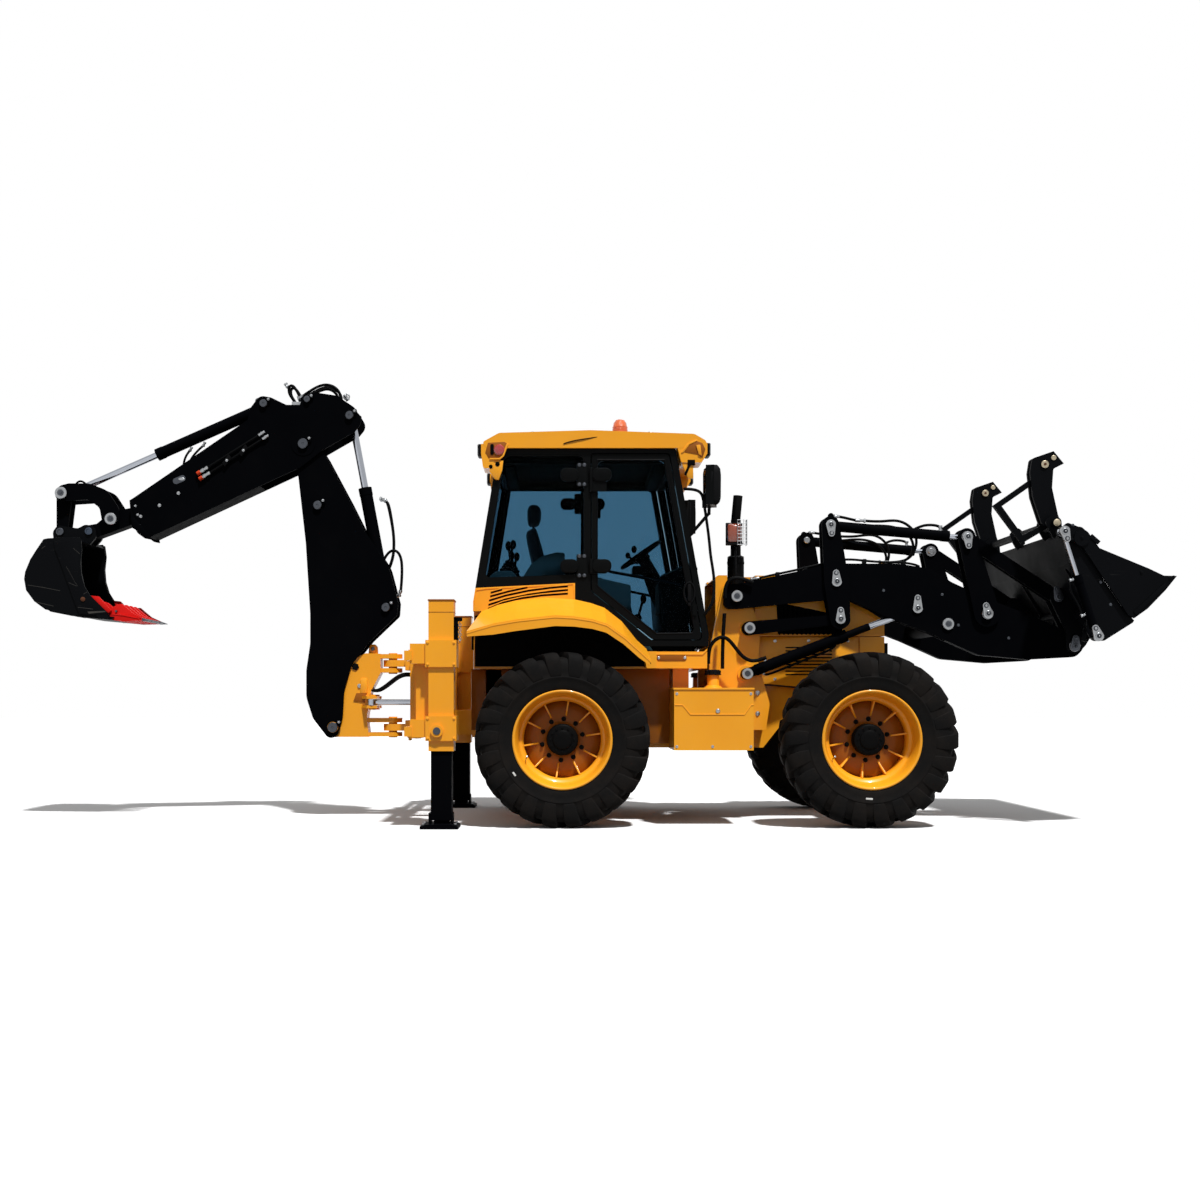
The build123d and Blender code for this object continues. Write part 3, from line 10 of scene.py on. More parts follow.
import bmesh
import bpy
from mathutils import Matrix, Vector

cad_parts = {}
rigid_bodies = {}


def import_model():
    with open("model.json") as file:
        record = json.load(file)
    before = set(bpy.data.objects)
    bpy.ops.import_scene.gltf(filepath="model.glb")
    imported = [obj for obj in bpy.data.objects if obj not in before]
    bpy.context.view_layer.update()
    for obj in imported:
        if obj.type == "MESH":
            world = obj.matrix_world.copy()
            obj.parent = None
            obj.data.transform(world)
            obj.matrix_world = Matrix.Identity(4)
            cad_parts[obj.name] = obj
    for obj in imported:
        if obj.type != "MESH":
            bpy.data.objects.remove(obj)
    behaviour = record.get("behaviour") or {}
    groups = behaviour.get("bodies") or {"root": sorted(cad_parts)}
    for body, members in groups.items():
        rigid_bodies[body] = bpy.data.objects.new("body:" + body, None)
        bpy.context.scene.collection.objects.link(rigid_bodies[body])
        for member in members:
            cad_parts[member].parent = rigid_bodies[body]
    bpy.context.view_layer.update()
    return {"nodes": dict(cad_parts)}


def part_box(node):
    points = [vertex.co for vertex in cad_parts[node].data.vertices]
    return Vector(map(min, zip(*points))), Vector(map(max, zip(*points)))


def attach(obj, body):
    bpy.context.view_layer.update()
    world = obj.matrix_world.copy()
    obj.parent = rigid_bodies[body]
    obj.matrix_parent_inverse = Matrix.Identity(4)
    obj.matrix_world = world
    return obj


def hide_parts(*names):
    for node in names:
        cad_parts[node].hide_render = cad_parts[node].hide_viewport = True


for spare in list(bpy.data.objects):
    bpy.data.objects.remove(spare)

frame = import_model()
NODES = frame["nodes"]

MM = 0.001
rim_low, rim_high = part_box("rim_rear_right")
AXLE_X = (rim_low.x + rim_high.x) / 2
front_low, front_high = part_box("rim_front_right")
WHEELBASE = ((front_low.x + front_high.x) / 2 - AXLE_X) / MM
WHEEL_R = 640
TRACK_HALF = 970
SIDES = {"right": -1, "left": 1}
BOTH = (-1, 1)
SHARP = math.radians(32)
Y_AXIS = (0, 1, 0)
UP = (0, 0, 1)

# Faces and middles across the machine
ARM_Y = 540
ARM_FACE = 580
LEVER_IN = 460
LEVER_FACE = 608
FRONT_FACE = 619
BASE_FACE = 591
CLAM_FACE = 1205
CLAM_SIDE = 1128
CLAW_Y = 760
KEEPER_T = 14
BOOM_FACE = 116
DIPPER_FACE = 126
HEAD_FACE = 137
SHELL_FACE = 300
WEAR_FACE = 316

# Pins as (x, z), where the solids have them
ARM_PIVOT = (1325, 1717)
LINK_PIVOT = (1422, 1475)
LIFT_BASE = (1405, 1129)
LEVER_TOP = (2033, 2256)
LEVER_MID = (2078, 1826)
LEVER_LOW = (2107, 1543)
LIFT_FRONT = (2697, 1626)
CROSS_TUBE = (2929, 1506)
FRONT_LEVER_TOP = (3065, 2165)
FRONT_LEVER_MID = (3220, 1583)
BUCKET_HINGE = (3879, 1337)
TILT_PIN = (3753, 1709)
BOOM_FOOT = (-1815, 713)
BOOM_RAM_BASE = (-1640, 1193)
BOOM_RAM_TOP = (-1935, 2471)
DIPPER_RAM_BASE = (-1395, 1662)
DIPPER_RAM_TOP = (-1680, 3178)
DIPPER_PIN = (-2047, 2954)
BUCKET_RAM_BASE = (-2359, 3272)
LINK_B = (-3961, 2566)
LINK_A = (-3568, 2361)
DIG_HINGE = (-3753, 2267)
DIG_LINK_PIN = (-3980, 2263)


def at(x, y, z):
    """A place in the frame, from millimetres about the rear axle."""
    return Vector((AXLE_X + x * MM, y * MM, z * MM))


# Materials


class Nodes:
    """A material's nodes, added one after another."""

    def __init__(self, name):
        self.material = bpy.data.materials.new(name)
        self.material.use_nodes = True
        self.tree = self.material.node_tree
        self.shader = self.tree.nodes["Principled BSDF"]
        self.place = self.add("ShaderNodeTexCoord").outputs["Object"]

    def add(self, kind, **values):
        node = self.tree.nodes.new(kind)
        for key, value in values.items():
            if key in node.inputs:
                node.inputs[key].default_value = value
            else:
                setattr(node, key, value)
        return node

    def link(self, out, into):
        self.tree.links.new(out, into)

    def noise(self, scale, detail=4, roughness=0.55, stretch=None):
        node = self.add("ShaderNodeTexNoise", Scale=scale, Detail=detail, Roughness=roughness)
        if stretch:
            mapping = self.add("ShaderNodeMapping")
            mapping.inputs["Scale"].default_value = stretch
            self.link(self.place, mapping.inputs["Vector"])
            self.link(mapping.outputs["Vector"], node.inputs["Vector"])
        else:
            self.link(self.place, node.inputs["Vector"])
        return node.outputs["Fac"]

    def ramp(self, factor, low, high, a=0.0, b=1.0):
        node = self.add("ShaderNodeMapRange")
        for key, value in (("From Min", low), ("From Max", high), ("To Min", a), ("To Max", b)):
            node.inputs[key].default_value = value
        self.link(factor, node.inputs["Value"])
        return node.outputs["Result"]

    def worn(self, factor, roughness, spread):
        """Roughness that rises by spread where the factor is high."""
        return self.ramp(factor, 0.3, 0.7, roughness, roughness + spread)

    def mix(self, factor, a, b):
        node = self.add("ShaderNodeMix", data_type="RGBA")
        self.link(factor, node.inputs[0])
        for socket, colour in ((node.inputs[6], a), (node.inputs[7], b)):
            if isinstance(colour, tuple):
                socket.default_value = (*colour, 1)
            else:
                self.link(colour, socket)
        return node.outputs[2]

    def bump(self, height, strength, distance):
        node = self.add("ShaderNodeBump", Strength=strength, Distance=distance)
        self.link(height, node.inputs["Height"])
        self.link(node.outputs["Normal"], self.shader.inputs["Normal"])

    def set(self, **values):
        for key, value in values.items():
            socket = self.shader.inputs[key.replace("_", " ")]
            if isinstance(value, tuple):
                socket.default_value = (*value, 1)
            elif isinstance(value, (int, float)):
                socket.default_value = value
            else:
                self.link(value, socket)


def gloss_paint(name, colour, shade, roughness, coat, dust, dust_amount, specular=0.5):
    """Sprayed paint over steel: orange peel, a slow shift of colour and a thin film of dust."""
    n = Nodes(name)
    slow = n.ramp(n.noise(1.7, 3), 0.35, 0.65)
    base = n.mix(slow, colour, shade)
    film = n.ramp(n.noise(6.5, 6, 0.65), 0.48, 0.78, 0, dust_amount)
    n.set(Base_Color=n.mix(film, base, dust), Roughness=n.worn(n.noise(14, 5), roughness, 0.12))
    n.set(Coat_Weight=coat, Coat_Roughness=0.08, Specular_IOR_Level=specular)
    n.bump(n.noise(260, 2), 0.06, 0.0006)
    return n.material


def scratched_paint(name, colour, bare, roughness, amount):
    """Black bucket paint, scuffed along the way the ground slides over it."""
    n = Nodes(name)
    streaks = n.noise(9, 9, 0.75, stretch=(0.7, 5.0, 9.0))
    patches = n.noise(2.3, 4)
    scuffs = n.add("ShaderNodeMath", operation="MULTIPLY")
    n.link(n.ramp(streaks, 0.62, 0.7), scuffs.inputs[0])
    n.link(n.ramp(patches, 0.48, 0.62, 0, amount), scuffs.inputs[1])
    n.set(Base_Color=n.mix(scuffs.outputs[0], colour, bare), Roughness=n.worn(patches, roughness, 0.2))
    n.set(Coat_Roughness=0.25, Specular_IOR_Level=0.03)
    n.bump(n.noise(40, 6, 0.7), 0.12, 0.001)
    return n.material


def metal(name, colour, roughness, spread, bump):
    n = Nodes(name)
    n.set(Metallic=1.0, Roughness=n.worn(n.noise(30, 5), roughness, spread))
    n.set(Base_Color=n.mix(n.noise(18, 4), colour, tuple(0.82 * c for c in colour)))
    n.bump(n.noise(120, 4), bump, 0.0004)
    return n.material


def rubber(name, colour, dusty, roughness, dust_amount):
    n = Nodes(name)
    film = n.ramp(n.noise(5, 7, 0.7), 0.42, 0.74, 0, dust_amount)
    n.set(Base_Color=n.mix(film, colour, dusty), Roughness=n.worn(n.noise(22, 5), roughness, 0.15))
    n.set(Specular_IOR_Level=0.03)
    n.bump(n.noise(90, 6, 0.7), 0.25, 0.0012)
    return n.material


def moulded(name, colour, roughness, grain=420, strength=0.2):
    """Grained plastic."""
    n = Nodes(name)
    cells = n.add("ShaderNodeTexVoronoi", Scale=grain)
    n.link(n.place, cells.inputs["Vector"])
    n.set(Base_Color=n.mix(n.noise(7, 3), colour, tuple(0.8 * c for c in colour)))
    n.set(Roughness=n.worn(n.noise(25, 3), roughness, 0.1))
    n.set(Specular_IOR_Level=0.03)
    n.bump(cells.outputs["Distance"], strength, 0.0005)
    return n.material


def cloth(name, colour, thread):
    """Woven seat cloth."""
    n = Nodes(name)
    waves = []
    for direction in ("X", "Z"):
        wave = n.add("ShaderNodeTexWave", Scale=190, Distortion=0.8, bands_direction=direction)
        n.link(n.place, wave.inputs["Vector"])
        waves.append(wave.outputs["Fac"])
    weave = n.add("ShaderNodeMath", operation="MULTIPLY")
    n.link(waves[0], weave.inputs[0])
    n.link(waves[1], weave.inputs[1])
    n.set(Base_Color=n.mix(weave.outputs[0], colour, thread), Roughness=0.9, Sheen_Weight=0.35)
    n.bump(weave.outputs[0], 0.4, 0.0008)
    return n.material


def tinted_glass(name, tint, mirror):
    """Flat tinted glass: what lies behind it shows through its colour, under a clear reflection."""
    n = Nodes(name)
    tree = n.tree
    through = n.add("ShaderNodeBsdfTransparent")
    through.inputs["Color"].default_value = (*tint, 1)
    gloss = n.add("ShaderNodeBsdfGlossy", Roughness=0.02)
    gloss.inputs["Color"].default_value = (0.9, 0.95, 1.0, 1)
    facing = n.add("ShaderNodeLayerWeight", Blend=mirror)
    smear = n.ramp(n.noise(3, 5), 0.45, 0.75, 1.0, 1.25)
    share = n.add("ShaderNodeMath", operation="MULTIPLY")
    n.link(facing.outputs["Fresnel"], share.inputs[0])
    n.link(smear, share.inputs[1])
    both = n.add("ShaderNodeMixShader")
    n.link(share.outputs[0], both.inputs[0])
    n.link(through.outputs[0], both.inputs[1])
    n.link(gloss.outputs[0], both.inputs[2])
    n.link(both.outputs[0], tree.nodes["Material Output"].inputs["Surface"])
    tree.nodes.remove(n.shader)
    return n.material


def lens(name, colour, roughness, weight, ribs=0):
    """Lamp glass: coloured, a little ribbed, and clear enough to show depth."""
    n = Nodes(name)
    n.set(
        Base_Color=colour, Roughness=roughness, Transmission_Weight=weight, Coat_Weight=0.6,
        Coat_Roughness=0.03
    )
    if ribs:
        wave = n.add("ShaderNodeTexWave", Scale=ribs, bands_direction="Z")
        n.link(n.place, wave.inputs["Vector"])
        n.bump(wave.outputs["Fac"], 0.4, 0.001)
    else:
        n.bump(n.noise(60, 2), 0.05, 0.0005)
    return n.material


YELLOW = (0.90, 0.375, 0.014)
BLACK = (0.0016, 0.0018, 0.0025)
LOOKS = {
    "machine_yellow": gloss_paint(
        "paint_yellow", YELLOW, (0.86, 0.345, 0.012), 0.30, 0.16, (0.62, 0.33, 0.09), 0.08, 0.22
    ),
    "arm_black": gloss_paint(
        "paint_black", BLACK, (0.0021, 0.0023, 0.0030), 0.36, 0.0, (0.007, 0.0065, 0.0062), 0.12, 0.002
    ),
    "cab_black": moulded("cab_black_trim", (0.0030, 0.0034, 0.0036), 0.36, 300, 0.06),
    "ram_chrome": metal("ram_chrome", (0.36, 0.38, 0.42), 0.12, 0.06, 0.01),
    "pin_steel": metal("pin_steel", (0.24, 0.24, 0.25), 0.30, 0.18, 0.10),
    "tyre_rubber": rubber("tyre_rubber", (0.0070, 0.0068, 0.0068), (0.024, 0.018, 0.014), 0.60, 0.35),
    "tinted_glass": tinted_glass("tinted_glass", (0.44, 0.58, 0.66), 0.06),
    "tooth_red": scratched_paint("tooth_red", (0.60, 0.012, 0.010), (0.42, 0.36, 0.33), 0.35, 1.0),
    "seat_black": cloth("seat_cloth", (0.016, 0.017, 0.020), (0.035, 0.037, 0.042)),
    "engine_grey": gloss_paint(
        "engine_grey", (0.10, 0.105, 0.11), (0.08, 0.085, 0.09), 0.4, 0.2, (0.15, 0.12, 0.09), 0.5
    ),
    "lamp_clear": lens("lamp_clear", (0.85, 0.88, 0.9), 0.08, 0.6, 60),
}
MORE = {
    "bucket_black": scratched_paint(
        "bucket_black", (0.0020, 0.0023, 0.0030), (0.045, 0.044, 0.043), 0.36, 0.8
    ),
    "hose_black": rubber("hose_black", (0.0022, 0.0024, 0.0028), (0.010, 0.009, 0.009), 0.34, 0.2),
    "zinc": metal("zinc_plate", (0.29, 0.30, 0.31), 0.26, 0.15, 0.25),
    "amber": lens("amber_lens", (0.85, 0.16, 0.012), 0.12, 0.35, 90),
    "amber_dim": lens("amber_dim", (0.34, 0.045, 0.004), 0.16, 0.2, 90),
    "red_lens": lens("red_lens", (0.55, 0.01, 0.008), 0.12, 0.35, 90),
    "mirror": metal("mirror_glass", (0.16, 0.20, 0.23), 0.03, 0.02, 0.0),
    "plastic": moulded("plastic_black", (0.0062, 0.0064, 0.0070), 0.42),
    "trim_grey": moulded("trim_grey", (0.115, 0.145, 0.14), 0.6),
    "cap_red": moulded("cap_red", (0.62, 0.06, 0.02), 0.4),
    "chalk": rubber("chalk_mark", (0.75, 0.75, 0.72), (0.5, 0.48, 0.45), 0.7, 0.4),
    # near black: painted shade in holes, slots, vents, behind grilles and on the wall under the fenders, and
    # the colour of the arch and cab linings
    "dark": moulded("dark_inside", (0.0022, 0.0022, 0.0024), 0.8),
    "hub_black": gloss_paint(
        "hub_black", (0.0022, 0.0022, 0.0024), (0.003, 0.003, 0.003), 0.42, 0.0, (0.010, 0.008, 0.006), 0.2,
        0.03
    ),
    # dark steel, also used as painted shade on the keepers that lie in the ram's shadow
    "dark_steel_and_painted_shade": metal("dark_steel_and_painted_shade", (0.060, 0.065, 0.075), 0.34, 0.16, 0.12),
    "steel_blue": metal("steel_blue", (0.050, 0.065, 0.090), 0.34, 0.16, 0.1),
    "steel_tan": metal("steel_tan", (0.36, 0.31, 0.22), 0.36, 0.16, 0.12),
    "rust": rubber("rust", (0.10, 0.040, 0.022), (0.16, 0.075, 0.045), 0.6, 0.8),
    "scuff": rubber("scuff", (0.050, 0.048, 0.045), (0.085, 0.078, 0.070), 0.7, 0.9),
    # painted shade: a dark orange for yellow paint that lies in shade, in the wheel discs, roof and sill
    # recesses, under the cab, on the stabiliser caps and on the post's pocket
    "painted_shade_yellow": gloss_paint(
        "painted_shade_yellow", (0.30, 0.09, 0.0035), (0.235, 0.068, 0.0025), 0.45, 0.08, (0.12, 0.06, 0.02), 0.12,
        0.14
    ),
}


def look(name):
    return LOOKS.get(name) or MORE[name]


# Shapes


def turns(count):
    """The angles of count even steps around a circle."""
    return [2 * math.pi * i / count for i in range(count)]


def smooth_group():
    """A modifier's node group: smooth faces, with edges over 32 degrees left sharp."""
    group = bpy.data.node_groups.new("smooth_by_angle", "GeometryNodeTree")
    group.interface.new_socket("Geometry", in_out="INPUT", socket_type="NodeSocketGeometry")
    group.interface.new_socket("Geometry", in_out="OUTPUT", socket_type="NodeSocketGeometry")
    start = group.nodes.new("NodeGroupInput")
    end = group.nodes.new("NodeGroupOutput")
    faces = group.nodes.new("GeometryNodeSetShadeSmooth")
    edges = group.nodes.new("GeometryNodeSetShadeSmooth")
    edges.domain = "EDGE"
    edges.inputs["Shade Smooth"].default_value = False
    angle = group.nodes.new("GeometryNodeInputMeshEdgeAngle")
    wide = group.nodes.new("FunctionNodeCompare")
    wide.inputs[1].default_value = SHARP
    link = group.links.new
    link(start.outputs[0], faces.inputs["Geometry"])
    link(faces.outputs[0], edges.inputs["Geometry"])
    link(angle.outputs["Unsigned Angle"], wide.inputs[0])
    link(wide.outputs[0], edges.inputs["Selection"])
    link(edges.outputs[0], end.inputs[0])
    return group


SMOOTH = smooth_group()


def soften(thing, bevel):
    """Rounds a piece's sharp edges by bevel millimetres and shades it by angle."""
    if bevel:
        edge = thing.modifiers.new("edges", "BEVEL")
        edge.width = bevel * MM
        edge.segments = 2
        edge.limit_method = "ANGLE"
        edge.angle_limit = SHARP
        edge.use_clamp_overlap = True
    shade = thing.modifiers.new("shading", "NODES")
    shade.node_group = SMOOTH


class Shape:
    """Solids gathered into one piece. Places are in millimetres, and side mirrors y."""

    def __init__(self, side=1):
        self.mesh = bmesh.new()
        self.side = side

    def point(self, p):
        return at(p[0], p[1] * self.side, p[2])

    def skin(self, rings, closed=True, caps=True):
        """Faces between rings of points that all have the same count."""
        made = [[self.mesh.verts.new(self.point(p)) for p in ring] for ring in rings]
        count = len(made[0])
        for a, b in zip(made, made[1:]):
            for i in range(count if closed else count - 1):
                j = (i + 1) % count
                self.mesh.faces.new((a[i], a[j], b[j], b[i]))
        if caps:
            self.mesh.faces.new(made[0][::-1])
            self.mesh.faces.new(made[-1])
        return self

    def plate(self, points, y0, y1):
        """A flat outline of (x, z) points, from y0 to y1."""
        return self.skin([[(x, y, z) for x, z in points] for y in (y0, y1)])

    def block(self, x0, x1, y0, y1, z0, z1):
        return self.plate([(x0, z0), (x1, z0), (x1, z1), (x0, z1)], y0, y1)

    def turned(self, base, axis, profile, sides=32):
        """A solid turned about an axis, from (distance along it, radius) pairs. Radius 0 closes an end."""
        base = Vector(base)
        axis = Vector(axis).normalized()
        across = axis.orthogonal().normalized()
        up = axis.cross(across)
        rings = []
        for along, radius in profile:
            radius = max(radius, 0.02)
            middle = base + axis * along
            rings.append([middle + (across * math.cos(t) + up * math.sin(t)) * radius for t in turns(sides)])
        return self.skin(rings)

    def rod(self, a, b, radius, sides=24):
        length = (Vector(b) - Vector(a)).length
        return self.turned(a, Vector(b) - Vector(a), [(0, radius), (length, radius)], sides)

    def bolt(self, base, axis, radius, height):
        """A hexagonal bolt head on a washer."""
        self.turned(base, axis, [(0, radius * 1.35), (height * 0.25, radius * 1.35)], 20)
        self.turned(base, axis, [
            (height * 0.2, radius), (height * 0.85, radius), (height, radius * 0.82)
        ], 6)
        return self

    def ring(self, centre, axis, big, small, sides):
        """A closed hoop about an axis."""
        axis = Vector(axis).normalized()
        across = axis.orthogonal().normalized()
        up = axis.cross(across)
        rings = []
        for i in range(sides):
            t = math.radians(360) * i / sides
            out = across * math.cos(t) + up * math.sin(t)
            middle = Vector(centre) + out * big
            rings.append([middle + (out * math.cos(u) + axis * math.sin(u)) * small for u in turns(12)])
        return self.skin(rings + [rings[0]], caps=False)

    def ball(self, centre, radii, sides=24):
        rings = []
        steps = sides // 2
        for i in range(steps + 1):
            v = math.pi * i / steps
            r = max(math.sin(v), 0.002)
            ring = []
            for u in turns(sides):
                x, y = centre[0] + radii[0] * r * math.cos(u), centre[1] + radii[1] * r * math.sin(u)
                ring.append((x, y, centre[2] + radii[2] * math.cos(v)))
            rings.append(ring)
        return self.skin(rings)

    def keeper(self, at_pin, lift, face):
        """The pear-shaped plate on a pin's end, on the face at y, with its bolt and grease nipple."""
        x, z = at_pin
        dx, dz = lift
        turn = math.atan2(dz, dx)
        outline = []
        for middle, radius, start, stop in (((x, z), 38, 100, 260), ((x + dx, z + dz), 24, -80, 80)):
            for k in range(13):
                t = turn + math.radians(start + (stop - start) * k / 12)
                outline.append((middle[0] + radius * math.cos(t), middle[1] + radius * math.sin(t)))
        self.plate(outline, face, face + KEEPER_T)
        self.turned((x, face + KEEPER_T - 1, z), Y_AXIS, [(0, 24), (6, 24), (9, 20)], 24)
        self.turned((x, face + KEEPER_T + 6, z), Y_AXIS, [(0, 6), (8, 6), (10, 4)], 10)
        return self.bolt((x + dx * 0.98, face + KEEPER_T - 1, z + dz * 0.98), Y_AXIS, 11, 9)

    def piece(self, name, body, slot, finish=None, bevel=2.0):
        """Ends the shape as a named piece on a body."""
        bmesh.ops.remove_doubles(self.mesh, verts=self.mesh.verts, dist=1e-6)
        bmesh.ops.recalc_face_normals(self.mesh, faces=self.mesh.faces)
        data = bpy.data.meshes.new(name)
        self.mesh.to_mesh(data)
        self.mesh.free()
        thing = bpy.data.objects.new(name, data)
        bpy.context.scene.collection.objects.link(thing)
        data.materials.append(look(finish or slot))
        soften(thing, bevel)
        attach(thing, body)
        return thing


def hoses(name, body, radius, routes, sides=(1,), finish="hose_black"):
    """Hoses held at both ends, each along its own (x, y, z) points. Each of the sides mirrors y."""
    data = bpy.data.curves.new(name, "CURVE")
    data.dimensions = "3D"
    data.bevel_depth = radius * MM
    data.bevel_resolution = 4
    data.resolution_u = 10
    data.use_fill_caps = True
    for side, route in [(side, route) for side in sides for route in routes]:
        line = data.splines.new("NURBS")
        line.points.add(len(route) - 1)
        for point, (x, y, z) in zip(line.points, route):
            point.co = (*at(x, y * side, z), 1)
        line.order_u = 4 if len(route) > 3 else 3
        line.use_endpoint_u = True
    thing = bpy.data.objects.new(name, data)
    bpy.context.scene.collection.objects.link(thing)
    data.materials.append(look(finish))
    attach(thing, body)
    return thing


def ferrules(name, body, radius, ends, sides=(1,)):
    """Crimped hose ends, from (place, direction, length) rows. Each of the sides mirrors y."""
    shape = Shape()
    for side, (place, direction, length) in [(side, end) for side in sides for end in ends]:
        place = (place[0], place[1] * side, place[2])
        d = Vector((direction[0], direction[1] * side, direction[2])).normalized()
        shape.turned(place, d, [
            (0, radius * 1.35), (length * 0.55, radius * 1.35), (length * 0.56, radius), (length, radius)
        ], 16)
        shape.turned(Vector(place) + d * length * 0.98, d, [(0, radius * 1.6), (14, radius * 1.6)], 6)
    shape.piece(name, body, "pin_steel", "zinc", 0.8)


def both_sides(build):
    """Runs a function that dresses one side, for the right and then the left."""
    for name, side in SIDES.items():
        build(name, side)


# Wheels

ROUND = 96
LUGS = 22
LUG_ROWS = [
    # offset and radius of the lug's top, then of its foot, then its turn and half widths in degrees
    (-16, 640, -16, 598, 0.0, 2.6, 3.8),
    (50, 640, 50, 598, 3.2, 3.6, 4.8),
    (112, 638, 108, 594, 6.4, 4.1, 5.2),
    (156, 630, 142, 584, 8.4, 4.5, 5.4),
    (178, 608, 156, 566, 9.3, 4.9, 5.6),
    (188, 574, 166, 548, 9.8, 5.2, 5.9),
    (190, 530, 172, 524, 10.2, 5.3, 6.0),
    (190, 492, 180, 488, 10.5, 5.0, 5.8),
    (188, 464, 182, 460, 10.7, 4.4, 5.2),
]
CARCASS = [
    (140, 350), (163, 352), (172, 362), (178, 384), (182, 410), (184, 438), (188, 446), (189, 455),
    (185, 462),
    (186, 490), (184, 520), (178, 552), (164, 578), (140, 594), (80, 602), (0, 604),
]


def wheel_point(x, side, offset, radius, degrees):
    t = math.radians(degrees)
    return (x + radius * math.cos(t), side * TRACK_HALF + side * offset, WHEEL_R + radius * math.sin(t))


def wheel_skin(shape, x, side, profile):
    """A closed ring about the axle, from a profile of (offset, radius) pairs."""
    rings = []
    for offset, radius in profile:
        rings.append([wheel_point(x, side, offset, radius, 360 * i / ROUND) for i in range(ROUND)])
    shape.skin(rings + [rings[0]], caps=False)


def tyre(end, x, side_name, side):
    name = f"tyre_{end}_{side_name}"
    body = f"wheel_{end}_{side_name}"
    casing = Shape()
    profile = [(o, r) for o, r in CARCASS] + [(-o, r) for o, r in CARCASS[-2::-1]]
    profile += [(-150, 338), (150, 338)]
    wheel_skin(casing, x, side, profile)
    piece = casing.piece(f"{name}_casing", body, "tyre_rubber", bevel=0)
    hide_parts(name)
    tread = Shape()
    for half in (-1, 1):
        for i in range(LUGS):
            start = 360 * (i + (0.5 if half > 0 else 0)) / LUGS
            rings = []
            for o_top, r_top, o_foot, r_foot, turn, w_top, w_foot in LUG_ROWS:
                middle = start + turn * side
                corners = [
                    (half * o_top, r_top, middle - w_top),
                    (half * o_top, r_top, middle + w_top),
                    (half * o_foot, r_foot, middle + w_foot),
                    (half * o_foot, r_foot, middle - w_foot),
                ]
                rings.append([wheel_point(x, side, *c) for c in corners])
            tread.skin(rings)
    tread.piece(f"{name}_lugs", body, "tyre_rubber", bevel=5)
    marks = Shape()
    rings = []
    for degrees in (263.6, 270.2) if end == "front" else (213, 217.5):
        face = [(186, 418), (186, 431), (180, 431), (180, 418)]
        rings.append([wheel_point(x, side, *corner, degrees) for corner in face])
    marks.skin(rings)
    marks.piece(f"{name}_mark", body, "tyre_rubber", "chalk", 0.5)


RIM_PROFILE = [
    (158, 352), (170, 362), (178, 362), (182, 354), (178, 344), (164, 336), (150, 330), (120, 322),
    (72, 318),
    (60, 312), (52, 296), (40, 286), (20, 282), (-60, 282), (-100, 296), (-150, 322), (-176, 340),
    (-182, 354),
    (-176, 362), (-166, 362), (-158, 350), (-150, 340), (150, 340),
]
DISC_PROFILE = [
    (-52, 283), (-40, 283), (-26, 262), (-16, 200), (-12, 168), (-12, 112), (-30, 112), (-34, 200),
    (-44, 262)
]
HUB_PROFILE = [(-24, 116), (66, 116), (78, 110), (84, 98), (84, 72), (92, 68), (96, 60), (98, 30), (98, 0)]
GUSSETS = 10


def rim(end, x, side_name, side):
    name = f"rim_{end}_{side_name}"
    body = f"wheel_{end}_{side_name}"
    # The disc is painted shade: its darker orange stands for the shade that falls inside the rim.
    disc = Shape()
    wheel_skin(disc, x, side, DISC_PROFILE)
    disc.piece(name + "_disc", body, "machine_yellow", "painted_shade_yellow", 1.5)
    shape = Shape()
    wheel_skin(shape, x, side, RIM_PROFILE)
    for i in range(GUSSETS):
        turn = 360 * (i + 0.25) / GUSSETS
        web = [(-30, 284), (44, 284), (34, 262), (2, 214), (-12, 176), (-20, 176)]
        rings = []
        for shift in (-1, 1):
            rings.append([wheel_point(x, side, o, r, turn + shift * math.degrees(6 / r)) for o, r in web])
        shape.skin(rings)
    piece = shape.piece(name + "_painted", body, "machine_yellow", bevel=1.5)
    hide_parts(name)
    hub = Shape()
    axis = (0, side, 0)
    hub.turned((x, side * TRACK_HALF, WHEEL_R), axis, HUB_PROFILE, 48)
    for i in range(10):
        hub.bolt(wheel_point(x, side, -13, 152, 36 * i + 14), axis, 13, 24)
    for i in range(12):
        hub.bolt(wheel_point(x, side, 83, 86, 30 * i), axis, 7, 8)
    hub.piece(f"hub_{end}_{side_name}", body, "arm_black", "hub_black", 1.5)
    valve = Shape()
    start = wheel_point(x, side, 64, 300, 208)
    stop = wheel_point(x, side, 104, 286, 206)
    valve.rod(start, stop, 5, 12)
    valve.rod(stop, Vector(stop) + (Vector(stop) - Vector(start)) * 0.25, 7, 12)
    valve.piece(f"valve_{end}_{side_name}", body, "pin_steel", "zinc", 0.5)


def wheels():
    for end, x in (("rear", 0), ("front", WHEELBASE)):
        for side_name, side in SIDES.items():
            tyre(end, x, side_name, side)
            rim(end, x, side_name, side)


# Roof and cab

CAB_OUT = 800
HINGE_Z = (1925, 2603)
MIRROR = (930, 2500)
BEACON = (450, -300)
CAB_FLOOR = 1196


def rounded_bar(x0, x1, z0, z1, corner, steps=6):
    """A rounded rectangle as (x, z) points."""
    points = []
    corners = (
        (x1 - corner, z1 - corner, 0), (x0 + corner, z1 - corner, 90), (x0 + corner, z0 + corner, 180),
        (x1 - corner, z0 + corner, 270)
    )
    for cx, cz, turn in corners:
        for k in range(steps + 1):
            t = math.radians(turn + 90 * k / steps)
            points.append((cx + corner * math.cos(t), cz + corner * math.sin(t)))
    return points


def ribbon(shape, points, half, y0, y1):
    """A narrow strip along (x, z) points, from y0 to y1."""
    return shape.skin([[
        (x, y0, z - half), (x, y1, z - half), (x, y1, z + half), (x, y0, z + half)
    ] for x, z in points])


